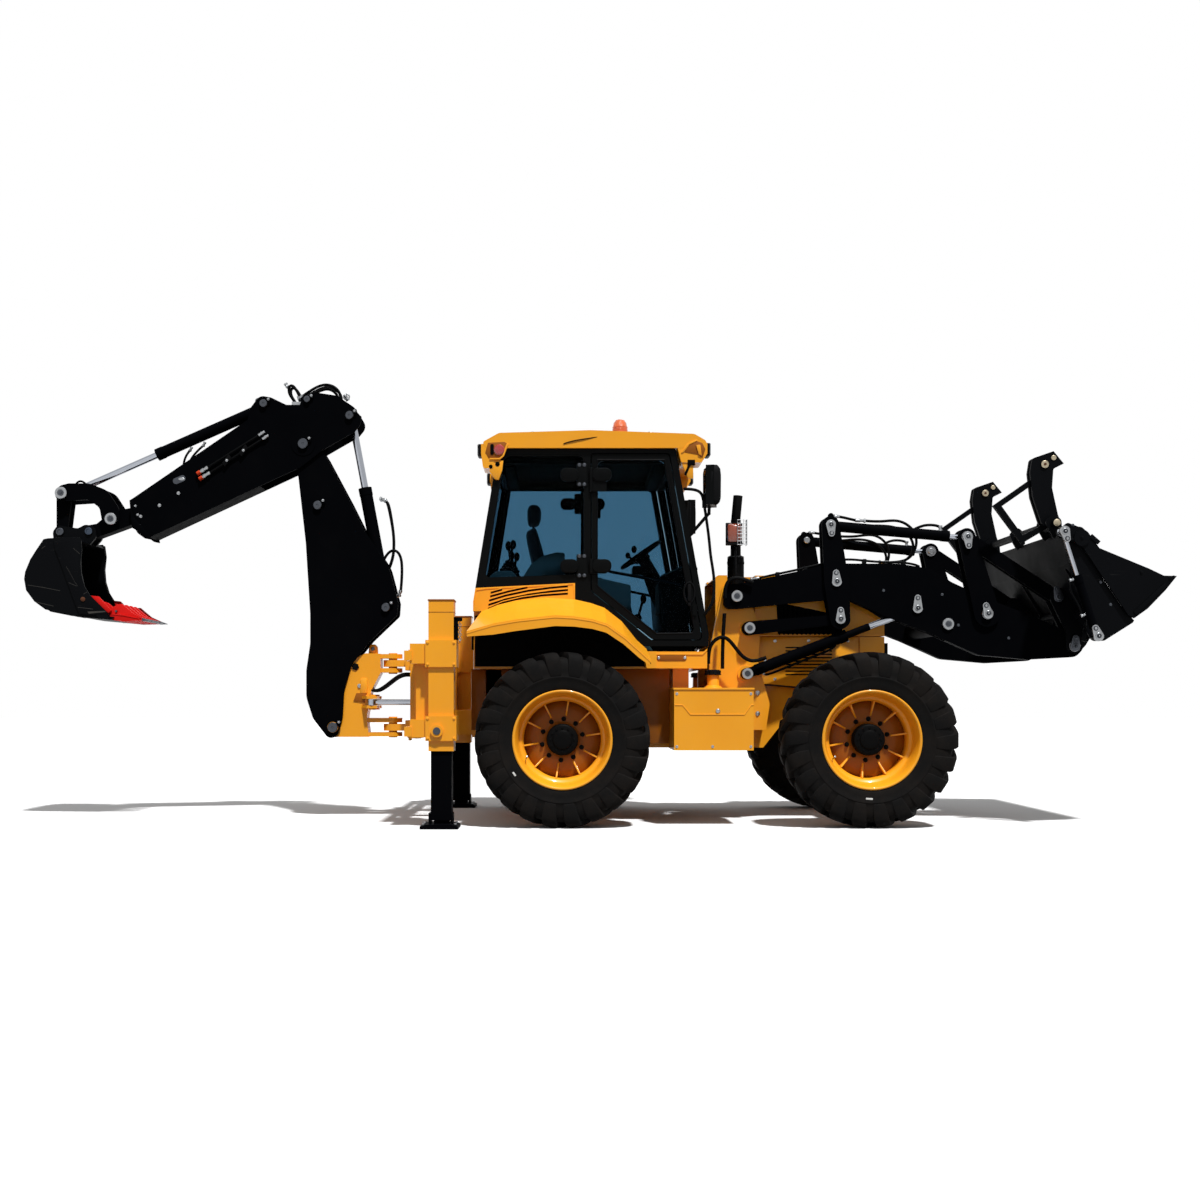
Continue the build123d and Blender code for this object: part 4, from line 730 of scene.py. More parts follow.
def roof_sides(name, side):
    """Recesses, corners, lamp guards and markers along the roof's edge."""
    # The recess plates are painted shade: dark orange where the roof's corners lie in shade.
    recess = Shape(side)
    recess.plate([
        (-572, 2765), (-552, 2838), (-430, 2845), (-408, 2832), (-440, 2742), (-470, 2722), (-545, 2722)
    ], 829, 832)
    recess.plate([
        (905, 2768), (950, 2828), (1000, 2850), (1040, 2836), (1062, 2790), (1040, 2722), (1012, 2748)
    ], 829, 832)
    recess.piece(f"roof_recess_{name}", "machine", "machine_yellow", "painted_shade_yellow", 1.5)
    corner = Shape(side)
    corner.plate([
        (-408, 2838), (-400, 2826), (-432, 2738), (-462, 2712), (-540, 2712), (-540, 2724), (-468, 2724),
        (-444, 2744), (-416, 2826)
    ], 826, 838)
    corner.plate([(880, 2762), (935, 2836), (1000, 2862), (1002, 2852), (944, 2824), (900, 2766)], 826, 836)
    corner.plate([(1012, 2750), (1034, 2742), (1024, 2822), (992, 2820)], 829, 842)
    corner.plate([
        (-552, 2721), (-438, 2706), (-446, 2634), (-472, 2564), (-499, 2567), (-539, 2622)
    ], 806, 826)
    corner.plate([(887, 2690), (973, 2690), (973, 2574), (934, 2574), (906, 2640)], 806, 822)
    corner.piece(f"roof_corner_{name}", "machine", "machine_yellow", bevel=2.5)
    # The holes are painted shade: near-black discs and a slot where the openings lie in shade.
    dark = Shape(side)
    dark.plate(rounded_bar(-534, -508, 2748, 2828, 10), 831, 836)
    dark.turned((-481, 820, 2681), Y_AXIS, [(0, 17), (9, 17), (10, 14)], 20)
    dark.turned((-531, 820, 2662), Y_AXIS, [(0, 15), (9, 15), (10, 12)], 20)
    dark.rod((955, 824, 2700), (912, 824, 2600), 9)
    dark.block(930, 985, 812, 832, 2672, 2712)
    dark.piece(f"roof_holes_{name}", "machine", "arm_black", "dark", 1)
    for end, sign, x, z0, z1 in (("front", 1, 1077, 2762, 2836), ("rear", -1, -603, 2762, 2828)):
        bezel = Shape(side)
        face = x + sign * 24
        for y0, y1, a, b in (
            (624, 634, z0 - 8, z1 + 8), (776, 786, z0 - 8, z1 + 8), (634, 776, z0 - 10, z0 + 2),
            (634, 776, z1 - 2, z1 + 10)
        ):
            bezel.block(min(x, face), max(x, face), y0, y1, a, b)
        bezel.piece(f"roof_lamp_bezel_{end}_{name}", "machine", "cab_black", "plastic", 2)
        guard = Shape(side)
        for k in range(6):
            y = 640 + 26 * k
            guard.rod((face + sign * 4, y, z0 - 6), (face + sign * 4, y, z1 + 6), 2.6, 8)
        for k in range(4):
            z = z0 + (z1 - z0) * k / 3
            guard.rod((face + sign * 4, 632, z), (face + sign * 4, 778, z), 2.6, 8)
        guard.piece(f"roof_lamp_guard_{end}_{name}", "machine", "pin_steel", "zinc", 0)
    Shape(side).turned(
        (-468, 830, 2785), Y_AXIS, [(0, 40), (8, 40), (14, 34), (17, 20), (18, 0)], 32
    ).piece(f"roof_marker_{name}", "machine", "lamp_clear", "red_lens", 0)


def roof_top():
    """Lifting eyes, beacon and beads on the roof."""
    eyes = Shape()
    for x in (-225, 670):
        for y in (-560, 560):
            eyes.ring((x, y, 2935), Y_AXIS, 30, 7, 28)
            eyes.turned((x, y, 2908), UP, [(0, 26), (8, 26), (10, 22)], 24)
    eyes.piece("lifting_eyes", "machine", "pin_steel", "zinc", 0)
    Shape().turned(
        (*BEACON, 2918), UP, [(0, 74), (20, 74), (26, 68), (40, 64)], 36
    ).piece("beacon_base", "machine", "cab_black", "plastic", 1.5)
    Shape().turned(
        (*BEACON, 2955), UP, [(0, 60), (14, 61), (92, 57), (128, 50), (150, 34), (158, 14), (160, 0)], 40
    ).piece("beacon_dome", "machine", "lamp_clear", "amber", 0)
    ribs = Shape()
    for k in range(7):
        ribs.ring((*BEACON, 2972 + 13 * k), UP, 60.5 - 0.45 * k, 2.2, 36)
    ribs.piece("beacon_ribs", "machine", "lamp_clear", "amber", 0)
    hoses("beacon_wire", "machine", 4, [
        [
            (450, -370, 2930), (440, -560, 2922), (420, -760, 2916), (350, -818, 2895), (180, -836, 2868),
            (60, -836, 2850), (10, -832, 2830)
        ],
    ])
    seam = Shape()
    for y in (-560, 552):
        seam.plate([
            (-430, 2915), (210, 2936), (800, 2916), (800, 2919), (210, 2940), (-430, 2918)
        ], y, y + 8)
    seam.piece("roof_beads", "machine", "machine_yellow", bevel=1.5)


LOUVRES = [
    [(-532, 1728), (-447, 1752)],
    [(-536, 1701), (-400, 1738), (-259, 1768)],
    [(-544, 1670), (-420, 1708), (-250, 1744), (-90, 1765), (42, 1777)],
    [(-549, 1638), (-420, 1680), (-250, 1715), (-90, 1737), (42, 1749)],
    [(-554, 1608), (-440, 1655), (-300, 1688), (-150, 1709), (42, 1722)],
]


def cab_shell(name, side):
    """What the right and left of the cab carry outside: louvres, hinges, mirrors and rails."""
    # The louvre slots are painted shade: near-black strips where the openings lie in shade.
    slots = Shape(side)
    lips = Shape(side)
    for line in LOUVRES:
        ribbon(slots, line, 8, CAB_OUT, CAB_OUT + 1.5)
        ribbon(lips, [(x, z + 9) for x, z in line], 3.5, CAB_OUT, CAB_OUT + 7)
    slots.piece(f"louvre_slots_{name}", "machine", "arm_black", "dark", 0)
    lips.piece(f"louvre_lips_{name}", "machine", "machine_yellow", bevel=1.5)
    edge = Shape(side)
    ribbon(
        edge, [(-655, 1640), (-640, 1748), (-560, 1760), (-250, 1775), (-60, 1786), (80, 1794)], 5,
        CAB_OUT - 2, CAB_OUT + 5
    )
    edge.plate([(84, 1660), (94, 1660), (94, 1792), (84, 1792)], CAB_OUT - 2, CAB_OUT + 5)
    edge.piece(f"quarter_panel_fold_{name}", "machine", "machine_yellow", bevel=2)
    mounts = Shape(side)
    for z in HINGE_Z:
        mounts.plate(rounded_bar(105, 186, z - 86, z + 88, 14), CAB_OUT, CAB_OUT + 12)
        mounts.plate(rounded_bar(-14, 120, z - 50, z + 50, 44), CAB_OUT, CAB_OUT + 26)
    mounts.piece(f"hinge_mounts_{name}", "machine", "cab_black", bevel=4)
    bolts = Shape(side)
    for z in HINGE_Z:
        for x in (127, 164):
            for dz in (-70, 74):
                bolts.bolt((x, CAB_OUT + 11, z + dz), Y_AXIS, 10, 9)
    bolts.piece(f"hinge_bolts_{name}", "machine", "pin_steel", "dark_steel_and_painted_shade", 0.8)
    head = Shape(side)
    outline = [
        (-96, -140), (-78, -150), (70, -142), (92, -118), (98, 90), (84, 138), (60, 150), (-84, 142),
        (-98, 120)
    ]
    rings = []
    for x, grow in ((1062, 0.90), (1066, 1.0), (1120, 1.0), (1140, 0.86), (1148, 0.62)):
        rings.append([(x + 0.2 * u * grow, MIRROR[0] + u * grow, MIRROR[1] + v * grow) for u, v in outline])
    head.skin(rings)
    head.piece(f"mirror_head_{name}", "machine", "cab_black", "plastic", 4)
    glass = Shape(side)
    rings = [[(
        x + 0.2 * u * 0.84, MIRROR[0] + u * 0.84, MIRROR[1] + v * 0.86
    ) for u, v in outline] for x in (1058, 1063)]
    glass.skin(rings)
    glass.piece(f"mirror_glass_{name}", "machine", "ram_chrome", "mirror", 1)
    clamp = Shape(side)
    clamp.block(1036, 1094, 846, 892, 2352, 2398)
    clamp.block(1050, 1110, 852, 900, 2392, 2436)
    clamp.rod((1080, 876, 2420), (1092, 925, 2470), 13)
    clamp.bolt((1050, 890, 2372), Y_AXIS, 9, 9)
    clamp.bolt((1080, 890, 2372), Y_AXIS, 9, 9)
    clamp.piece(f"mirror_clamp_{name}", "machine", "cab_black", "plastic", 3)
    rail = [
        (905, 800, 2500), (960, 835, 2494), (1021, 858, 2479), (1041, 864, 2430), (1056, 866, 2335),
        (1088, 866, 2113), (1094, 866, 2002), (1123, 862, 1854), (1126, 858, 1740), (1113, 848, 1625),
        (1060, 800, 1568)
    ]
    hoses(f"mirror_rail_{name}", "machine", 11, [rail], [side], "plastic")
    # The sill recess is painted shade: a dark orange plate where the sill lies in shade.
    Shape(side).plate(rounded_bar(703, 925, 1219, 1262, 18), CAB_OUT, CAB_OUT + 4).piece(
        f"sill_recess_{name}", "machine", "machine_yellow", "painted_shade_yellow", 3
    )
    Shape(side).plate([
        (640, 1276), (1040, 1276), (1078, 1312), (1078, 1296), (1046, 1262), (640, 1264)
    ], CAB_OUT - 4, CAB_OUT + 6).piece(f"sill_fold_{name}", "machine", "machine_yellow", bevel=2.5)
    screws = Shape(side)
    for x in (716, 912):
        screws.turned((x, CAB_OUT + 3, 1242), Y_AXIS, [(0, 11), (4, 11), (7, 6)], 18)
    screws.piece(f"sill_screws_{name}", "machine", "pin_steel", "zinc", 0)


def wiper_arms():
    wipers = Shape()
    wipers.rod((-500, -560, 2470), (-606, -560, 2010), 6)
    wipers.rod((-512, -600, 2440), (-592, -520, 2100), 8)
    wipers.block(-520, -486, -590, -530, 2440, 2500)
    wipers.rod((950, 0, 2300), (1076, -420, 1560), 7)
    wipers.rod((1010, -150, 2130), (1100, -480, 1480), 9)
    wipers.block(930, 975, -40, 40, 2270, 2340)
    wipers.piece("wipers", "machine", "cab_black", "plastic", 1)


def doors(name, side):
    """Hinge arms, latch, seal and grab bar of a door."""
    body = f"door_{name}"
    arms = Shape(side)
    for z in HINGE_Z:
        arms.plate(rounded_bar(222, 366, z - 50, z + 50, 46), CAB_OUT - 1, CAB_OUT + 34)
        arms.turned((215, 816, z - 52), UP, [(0, 16), (104, 16)], 24)
    arms.piece(f"door_hinge_arms_{name}", body, "cab_black", bevel=7)
    latch = Shape(side)
    rings = []
    for k in range(41):
        t = 2 * math.pi * k / 40
        centre = Vector((945 + 40 * math.cos(t), CAB_OUT + 5, 1728 + 76 * math.sin(t)))
        out = Vector((math.cos(t), 0, math.sin(t)))
        rings.append([centre + out * 7 * math.cos(u) + Vector((0, 7 * math.sin(u), 0)) for u in turns(10)])
    latch.skin(rings, caps=False)
    latch.plate(rounded_bar(933, 957, 1664, 1792, 10), CAB_OUT, CAB_OUT + 20)
    latch.turned((945, CAB_OUT, 1640), Y_AXIS, [(0, 13), (10, 13), (13, 9)], 20)
    latch.piece(f"door_latch_{name}", body, "cab_black", "plastic", 3)
    seal = Shape(side)
    for a, b in (
        ((982, 1470), (762, 2712)), ((762, 2716), (262, 2716)), ((258, 2712), (258, 1780)),
        ((262, 1776), (700, 1422)), ((700, 1422), (968, 1426))
    ):
        seal.rod((a[0], CAB_OUT - 3, a[1]), (b[0], CAB_OUT - 3, b[1]), 7, 10)
    seal.piece(f"door_seal_{name}", body, "cab_black", "hose_black", 0)
    bar = [
        (330, 768, 1905), (340, 742, 1890), (420, 730, 1880), (700, 730, 1826), (900, 730, 1780),
        (960, 742, 1768), (968, 768, 1764)
    ]
    hoses(f"door_grab_bar_{name}", body, 11, [bar], [side], "plastic")


def cushion(name, rings):
    """A crowned, closed pad through rings of points."""
    shape = Shape()
    shape.skin(rings)
    thing = shape.piece(name, "machine", "seat_black", bevel=0)
    swell = thing.modifiers.new("crown", "SUBSURF")
    swell.levels = 2
    swell.render_levels = 2
    return thing


def seat_pads():
    """Cushion, back and headrest of the seat."""
    rows = (
        # x, middle height and rise, then half widths low, midway and high, and rises at shoulder and crown
        (-190, 1700, 52, 215, 228, 205, 0.9, 1.1),
        (-60, 1700, 58, 238, 250, 222, 0.9, 1.2),
        (120, 1712, 60, 240, 252, 222, 1.1, 1.1),
        (270, 1722, 56, 232, 244, 216, 1.0, 1.0),
        (318, 1716, 36, 205, 214, 190, 0.9, 0.9),
    )
    rings = []
    for x, z, rise, low, wide, high, shoulder, crown in rows:
        under = [(-low, -1), (0, -1), (low, -1), (wide, 0)]
        over = [(high, shoulder), (0, crown), (-high, shoulder), (-wide, 0)]
        rings.append([(x, y, z + rise * v) for y, v in under + over])
    seat = cushion("seat_cushion", rings)
    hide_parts("cab_interior")
    rows = (
        (1760, -175, -60, 238), (1900, -215, -100, 246), (2080, -255, -150, 242), (2220, -285, -190, 220),
        (2290, -292, -214, 168)
    )
    back = []
    for z, x0, x1, half in rows:
        rear = [(x0, y, z - 18) for y in (-half, 0, half)]
        back.append(rear + [(x1, half * share, z + 18) for share in (1.03, 0.7, 0, -0.7, -1.03)])
    cushion("seat_back", back)
    rows = (
        (2310, -268, -196, 92), (2350, -276, -176, 122), (2420, -280, -168, 126), (2462, -272, -178, 108),
        (2484, -250, -200, 70)
    )
    rest = []
    for z, x0, x1, half in rows:
        mid = (x0 + x1) / 2
        shares = ((x0, -1), (x0, 0), (x0, 1), (mid, 1.1), (x1, 0.9), (x1 + 6, 0), (x1, -0.9), (mid, -1.1))
        rest.append([(x, half * share, z) for x, share in shares])
    cushion("seat_headrest", rest)


def seat_trim():
    """The seat's base, bellows and armrests."""
    base = Shape()
    base.block(-190, 290, -215, 215, CAB_FLOOR, 1240)
    for k in range(7):
        grow = 8 if k % 2 else 0
        base.block(-170 - grow, 250 + grow, -190 - grow, 190 + grow, 1240 + 58 * k, 1296 + 58 * k)
    for y in (-60, 60):
        base.rod((-232, y, 2270), (-228, y, 2330), 7)
    base.piece("seat_base", "machine", "seat_black", "plastic", 4)
    arms = Shape()
    for y in (-300, 300):
        arms.plate(rounded_bar(-150, 190, 1900, 1945, 20), y - 32, y + 32)
        arms.rod((-190, y * 0.9, 1840), (-130, y, 1915), 14)
    arms.piece("seat_armrests", "machine", "seat_black", "plastic", 8)


def cab_controls():
    """Side consoles, levers, steering wheel, dash, dark lining and pedals."""
    side_box = Shape()
    for side in BOTH:
        dome = [
            (-300, 1560), (-300, 1880), (-240, 1975), (-150, 2040), (-40, 2066), (20, 2060), (20, 1900),
            (60, 1700), (60, 1560)
        ]
        side_box.plate(dome, side * 330, side * 440)
        side_box.plate([
            (-560, 1600), (-560, 1850), (-500, 1905), (-380, 1905), (-330, 1850), (-330, 1600)
        ], side * 300, side * 640)
        side_box.plate([
            (235, 1615), (235, 1850), (300, 1850), (520, 1800), (520, 1640), (560, 1480), (690, 1300),
            (630, 1300), (560, 1380), (420, 1520)
        ], side * 560, side * 610)
    side_box.piece("cab_side_trim", "machine", "seat_black", "trim_grey", 12)
    boots = Shape()
    for x, y, lean in (
        (-430, -470, 30), (-380, -380, -20), (-430, 470, 30), (-380, 380, -20), (560, -300, 40),
        (500, 330, 20)
    ):
        foot = 1905 if x < 0 else 1500
        rows = [(0, 52), (12, 56), (24, 44), (36, 48), (48, 37), (60, 41), (72, 30), (84, 33), (100, 18)]
        boots.turned((x, y, foot), (lean / 100, 0, 1), rows, 20)
        boots.rod((x + lean * 0.9, y, foot + 90), (x + lean * 1.6, y, foot + 190), 10)
        boots.ball((x + lean * 1.8, y, foot + 215), (24, 24, 38), 16)
    boots.piece("lever_boots", "machine", "seat_black", "plastic", 0)
    steer = Shape()
    middle = Vector((628, 0, 2088))
    axis = Vector((-0.57, 0, 0.82))
    steer.ring(middle, axis, 178, 15, 44)
    steer.turned(middle - axis * 60, axis, [(0, 52), (46, 58), (62, 44), (66, 0)], 28)
    for turn in (90, 210, 330):
        across = Vector(Y_AXIS) * math.cos(
            math.radians(turn)
        ) + axis.cross(Vector(Y_AXIS)) * math.sin(math.radians(turn))
        steer.rod(middle - axis * 30 + across * 30, middle + across * 172, 11, 12)
    steer.ball(middle + Vector((-60, -140, 30)), (22, 22, 30), 14)
    steer.piece("steering_wheel", "machine", "seat_black", "plastic", 0)
    column = Shape()
    column.turned(
        middle - axis * 50, (0.42, 0, -1), [(0, 44), (120, 62), (260, 70), (420, 74), (850, 92)], 24
    )
    column.block(560, 700, -120, 120, 1920, 1990)
    column.rod((600, -70, 2010), (520, -190, 2060), 9)
    column.ball((516, -196, 2064), (20, 20, 26), 12)
    column.plate([(700, 1400), (1000, 1400), (1030, CAB_FLOOR), (690, CAB_FLOOR)], -330, 330)
    column.plate([
        (735, 1860), (1010, 1975), (1030, 1930), (1020, 1780), (960, 1500), (800, 1420), (760, 1500)
    ], -560, 560)
    column.piece("dashboard", "machine", "seat_black", "plastic", 6)
    cowl = Shape()
    cowl.plate([(752, 1880), (1004, 1990), (1014, 1972), (760, 1862)], -540, 540)
    cowl.plate([(730, 1590), (760, 1600), (770, 1850), (738, 1850)], -430, -120)
    cowl.piece("dashboard_top", "machine", "seat_black", "trim_grey", 5)
    lining = Shape()
    for side in BOTH:
        lining.plate(
            [(-452, 2765), (806, 2765), (812, 2700), (-440, 2700), (-462, 2712)], side * 640, side * 740
        )
    lining.block(-440, -360, -640, 640, 2690, 2765)
    lining.block(700, 806, -640, 640, 2690, 2765)
    lining.block(-440, 800, -700, 700, 2768, 2790)
    lining.piece("cab_lining", "machine", "seat_black", "dark", 10)
    pedals = Shape()
    for y in (-180, -60, 90):
        pedals.plate([(700, 1330), (760, 1420), (768, 1412), (710, 1322)], y - 34, y + 34)
        pedals.rod((760, y, 1412), (800, y, 1500), 8)
    pedals.block(340, 700, -560, 560, CAB_FLOOR, CAB_FLOOR + 8)
    pedals.piece("pedals_and_mat", "machine", "seat_black", "hose_black", 2)


# Hood, exhaust and the body under the cab

HOOD_SIDE = 424
ENGINE_SIDE = 408
NOSE = 2480
STACK = (1345, -345)
FILLER = (1143, 600)

def hood_sides(name, side):
    """Grilles, folds, vents and lamp bezels of the hood's sides."""
    # Behind the slats, the grille is painted shade: a near-black plate where the opening lies in shade.
    Shape(side).plate(
        [(1648, 1668), (1722, 1668), (2150, 1580), (2150, 1424), (1664, 1424)], HOOD_SIDE + 1, HOOD_SIDE + 4
    ).piece(f"hood_grille_{name}", "bonnet", "arm_black", "dark", 1)
    slats = Shape(side)
    for k in range(15):
        x = 1660 + 34 * k
        top = 1660 if x < 1722 else 1660 - (x - 1722) * 0.205
        blade = ((x, 2), (x + 16, 14), (x + 18, 10), (x + 3, 2))
        slats.skin([[(u, HOOD_SIDE + v, z) for u, v in blade] for z in (1430, top)])
    slats.piece(f"hood_slats_{name}", "bonnet", "arm_black", bevel=0.8)
    fold = Shape(side)
    start = 1200 if side > 0 else 1492
    ribbon(fold, [(start, 1832), (1750, 1828), (2150, 1690), (2460, 1530)], 5, HOOD_SIDE, HOOD_SIDE + 6)
    ribbon(fold, [(start, 1430), (1800, 1430), (2476, 1430)], 7, HOOD_SIDE, HOOD_SIDE + 7)
    fold.piece(f"hood_folds_{name}", "bonnet", "machine_yellow", bevel=2.5)
    Shape(side).plate(
        [(1190, 1052), (1590, 1052), (2286, 992), (2286, 1414), (1190, 1414)], ENGINE_SIDE, ENGINE_SIDE + 6
    ).piece(f"engine_panel_{name}", "machine", "machine_yellow", bevel=2)
    # The vents are painted shade: near-black strips where the openings lie in shade.
    vents = Shape(side)
    for k in range(9):
        z = 1120 + 26 * k
        vents.plate(rounded_bar(1720, 2080, z, z + 10, 5), ENGINE_SIDE + 5.5, ENGINE_SIDE + 7.5)
    vents.piece(f"engine_vents_{name}", "machine", "arm_black", "dark", 0)
    lid_bolts = Shape(side)
    for x, z in ((1640, 1385), (1900, 1385), (2200, 1385), (1640, 1090), (2230, 1080)):
        lid_bolts.bolt((x, ENGINE_SIDE + 5, z), Y_AXIS, 9, 8)
    lid_bolts.piece(f"engine_panel_bolts_{name}", "machine", "pin_steel", "zinc", 0.6)
    bezel = Shape(side)
    for y0, y1, z0, z1 in (
        (217, 227, 1242, 1368), (373, 383, 1242, 1368), (227, 373, 1242, 1252), (227, 373, 1358, 1368)
    ):
        bezel.block(NOSE, NOSE + 36, y0, y1, z0, z1)
    bezel.piece(f"head_lamp_bezel_{name}", "machine", "cab_black", "plastic", 2)


def hood_front():
    """Nose grille, exhaust, caps and the indicator with its guard."""
    # Behind the bars, the nose grille is painted shade: near-black plates where the opening lies in shade.
    nose = Shape()
    nose.block(NOSE, NOSE + 4, -190, 190, 1040, 1400)
    nose.block(NOSE, NOSE + 4, -370, 370, 1030, 1220)
    nose.piece("nose_grille", "machine", "arm_black", "dark", 1)
    bars = Shape()
    for k in range(13):
        z = 1046 + 29 * k
        half = 366 if z < 1212 else 186
        bars.block(NOSE + 2, NOSE + 14, -half, half, z, z + 9)
    bars.piece("nose_bars", "machine", "arm_black", bevel=2)
    # Behind its bars, the hood's mouth is painted shade: a near-black plate.
    Shape().block(NOSE, NOSE + 3, -380, 380, 1438, 1520).piece(
        "hood_mouth", "bonnet", "arm_black", "dark", 1
    )
    mesh_bars = Shape()
    for k in range(31):
        mesh_bars.block(NOSE + 1, NOSE + 9, -372 + 24.5 * k, -366 + 24.5 * k, 1440, 1518)
    mesh_bars.piece("hood_mouth_bars", "bonnet", "arm_black", bevel=1)
    stack = Shape()
    stack.turned((*STACK, 2036), UP, [(0, 66), (4, 60), (14, 40), (280, 37), (290, 37)], 36)
    stack.rod((*STACK, 2318), (1363, -345, 2512), 36, 32)
    stack.turned((*STACK, 1478), UP, [(0, 40), (6, 64), (550, 64), (560, 60)], 36)
    for z in (1530, 1980):
        stack.turned((*STACK, z), UP, [(0, 66.5), (22, 66.5)], 36)
    stack.piece("stack_shield", "machine", "arm_black", "hub_black", 1.5)
    knob = Shape()
    knob.turned((1669, -250, 1884), UP, [(0, 34), (8, 34), (26, 26), (34, 12), (35, 0)], 28)
    knob.turned((1480, 250, 1884), UP, [(0, 60), (14, 60), (18, 52)], 32)
    knob.piece("hood_caps", "bonnet", "machine_yellow", "amber", 0)
    lamp = Shape()
    lamp.block(1256, 1384, -458, -434, 2120, 2290)
    lamp.block(1256, 1384, -492, -434, 2116, 2134)
    lamp.rod((1330, -462, 1770), (1330, -462, 2126), 10)
    lamp.piece("indicator_housing", "machine", "cab_black", "plastic", 5)
    Shape().block(1264, 1376, -498, -456, 2136, 2280).piece(
        "indicator_lens", "machine", "lamp_clear", "amber_dim", 20
    )
    guard = Shape()
    for k in range(8):
        z = 2118 + 27 * k
        guard.rod((1340, -504, z), (1412, -508, z), 2.2, 8)
        guard.rod((1412, -508, z), (1412, -436, z), 2.2, 8)
    for x, y in ((1340, -504), (1364, -505), (1388, -507), (1412, -508), (1412, -472), (1412, -436)):
        guard.rod((x, y, 2114), (x, y, 2310), 2.2, 8)
    guard.rod((1380, -440, 2126), (1412, -440, 2126), 3, 8)
    guard.piece("indicator_guard", "machine", "pin_steel", "zinc", 0)


FENDER_LINE = [
    (640, 1215), (565, 1284), (450, 1388), (320, 1480), (214, 1512), (86, 1532), (-54, 1540), (-330, 1510),
    (-500, 1480), (-690, 1425)
]
FENDER_INNER = [
    (625, 1312), (556, 1373), (442, 1515), (314, 1615), (214, 1650), (86, 1679), (-127, 1693), (-341, 1671),
    (-483, 1636), (-600, 1590)
]


def lower_body(name, side):
    """Fender liners, side boxes and filler under the cab."""
    # The arch's underside is partly black liner and partly painted shade; the wall plate is painted shade
    # over the yellow tub under the fender.
    liner = Shape(side)
    inner = [(x, 802, z - 23) for x, z in FENDER_INNER] + [
        (x, 802, z - 29) for x, z in reversed(FENDER_INNER)
    ]
    outer = [(x, 1134, z - 23) for x, z in FENDER_LINE] + [
        (x, 1134, z - 29) for x, z in reversed(FENDER_LINE)
    ]
    liner.skin([inner, outer])
    wall = [
        (620, 1180), (600, 1290), (520, 1420), (400, 1545), (250, 1622), (80, 1655), (-127, 1668),
        (-341, 1648), (-500, 1606), (-655, 1560), (-655, 1180)
    ]
    liner.plate(wall, 712, 716)
    liner.piece(f"fender_liner_{name}", "machine", "arm_black", "dark", 0)
    # The frame side is painted shade: a dark orange plate where the body under the cab lies in shade.
    Shape(side).plate([
        (-690, 700), (-690, 1164), (812, 1164), (812, 600), (560, 600), (470, 880), (-470, 880), (-560, 700)
    ], 572, 580).piece(f"frame_side_{name}", "machine", "machine_yellow", "painted_shade_yellow", 2)
    roll = Shape(side)
    ribbon(roll, [(max(x, -688), z - 16) for x, z in FENDER_LINE], 4, 1149, 1153)
    roll.piece(f"fender_roll_{name}", "machine", "machine_yellow", bevel=1.5)
    lip = Shape(side)
    lip.plate([(812, 1003), (1406, 1003), (1406, 1018), (812, 1018)], 470, 992)
    ribbon(lip, [(822, 892), (880, 892), (936, 822), (1334, 822), (1382, 892), (1400, 892)], 4, 984, 989)
    lip.piece(f"side_box_lid_{name}", "machine", "machine_yellow", bevel=3)
    fixings = Shape(side)
    fixings.turned((1138, 985, 849), Y_AXIS, [(0, 16), (5, 16), (8, 12)], 24)
    for x, z in ((838, 588), (1380, 588), (838, 975), (1380, 975), (1100, 588)):
        fixings.bolt((x, 984, z), Y_AXIS, 8, 7)
    for z in (983, 826):
        fixings.bolt((1497, 484, z), Y_AXIS, 13, 12)
    fixings.piece(f"side_box_fixings_{name}", "machine", "pin_steel", "zinc", 0.6)
    Shape(side).turned(
        (*FILLER, 1010), UP, [(0, 70), (12, 70), (30, 46), (110, 44)], 32
    ).piece(f"filler_neck_{name}", "machine", "machine_yellow", bevel=1.5)
    cap = Shape(side)
    rows = [(0, 62), (10, 62), (12, 54), (34, 54), (40, 46)]
    cap.turned((*FILLER, 1118), UP, rows, 24)
    for t in turns(12):
        x, y = FILLER[0] + 55 * math.cos(t), FILLER[1] + 55 * math.sin(t)
        cap.rod((x, y, 1130), (x, y, 1152), 5, 8)
    cap.piece(f"filler_cap_{name}", "machine", "cab_black", "plastic", 1.5)


def body_hoses():
    hoses("body_hoses", "machine", 14, [
        [
            (1103, 640, 1202), (1103, 640, 1298), (1128, 640, 1371), (1212, 640, 1419), (1276, 640, 1371),
            (1339, 640, 1276), (1403, 635, 1224), (1467, 632, 1221), (1541, 630, 1250)
        ],
        [(1212, 620, 1165), (1212, 620, 1393), (1228, 618, 1584)],
        [
            (1233, 618, 1700), (1228, 616, 1785), (1265, 614, 1849), (1329, 612, 1859), (1393, 610, 1838),
            (1446, 610, 1817)
        ],
    ], BOTH)


# Loader


LIFT_WAY = Vector((0.9334, 0.3589))
BUCKET_TURN = math.radians(40)


def bucket_at(u, v):
    """A point of the loader bucket's own frame, along its floor and up from it, as (x, z)."""
    t = BUCKET_TURN
    return (
        BUCKET_HINGE[0] + u * math.cos(t) - v * math.sin(t),
        BUCKET_HINGE[1] + u * math.sin(t) + v * math.cos(t)
    )


CLAM_BASE = bucket_at(1, 65)
CLAM_EAR = bucket_at(299, 794)


def between(a, b, share):
    return (a[0] + (b[0] - a[0]) * share, a[1] + (b[1] - a[1]) * share)


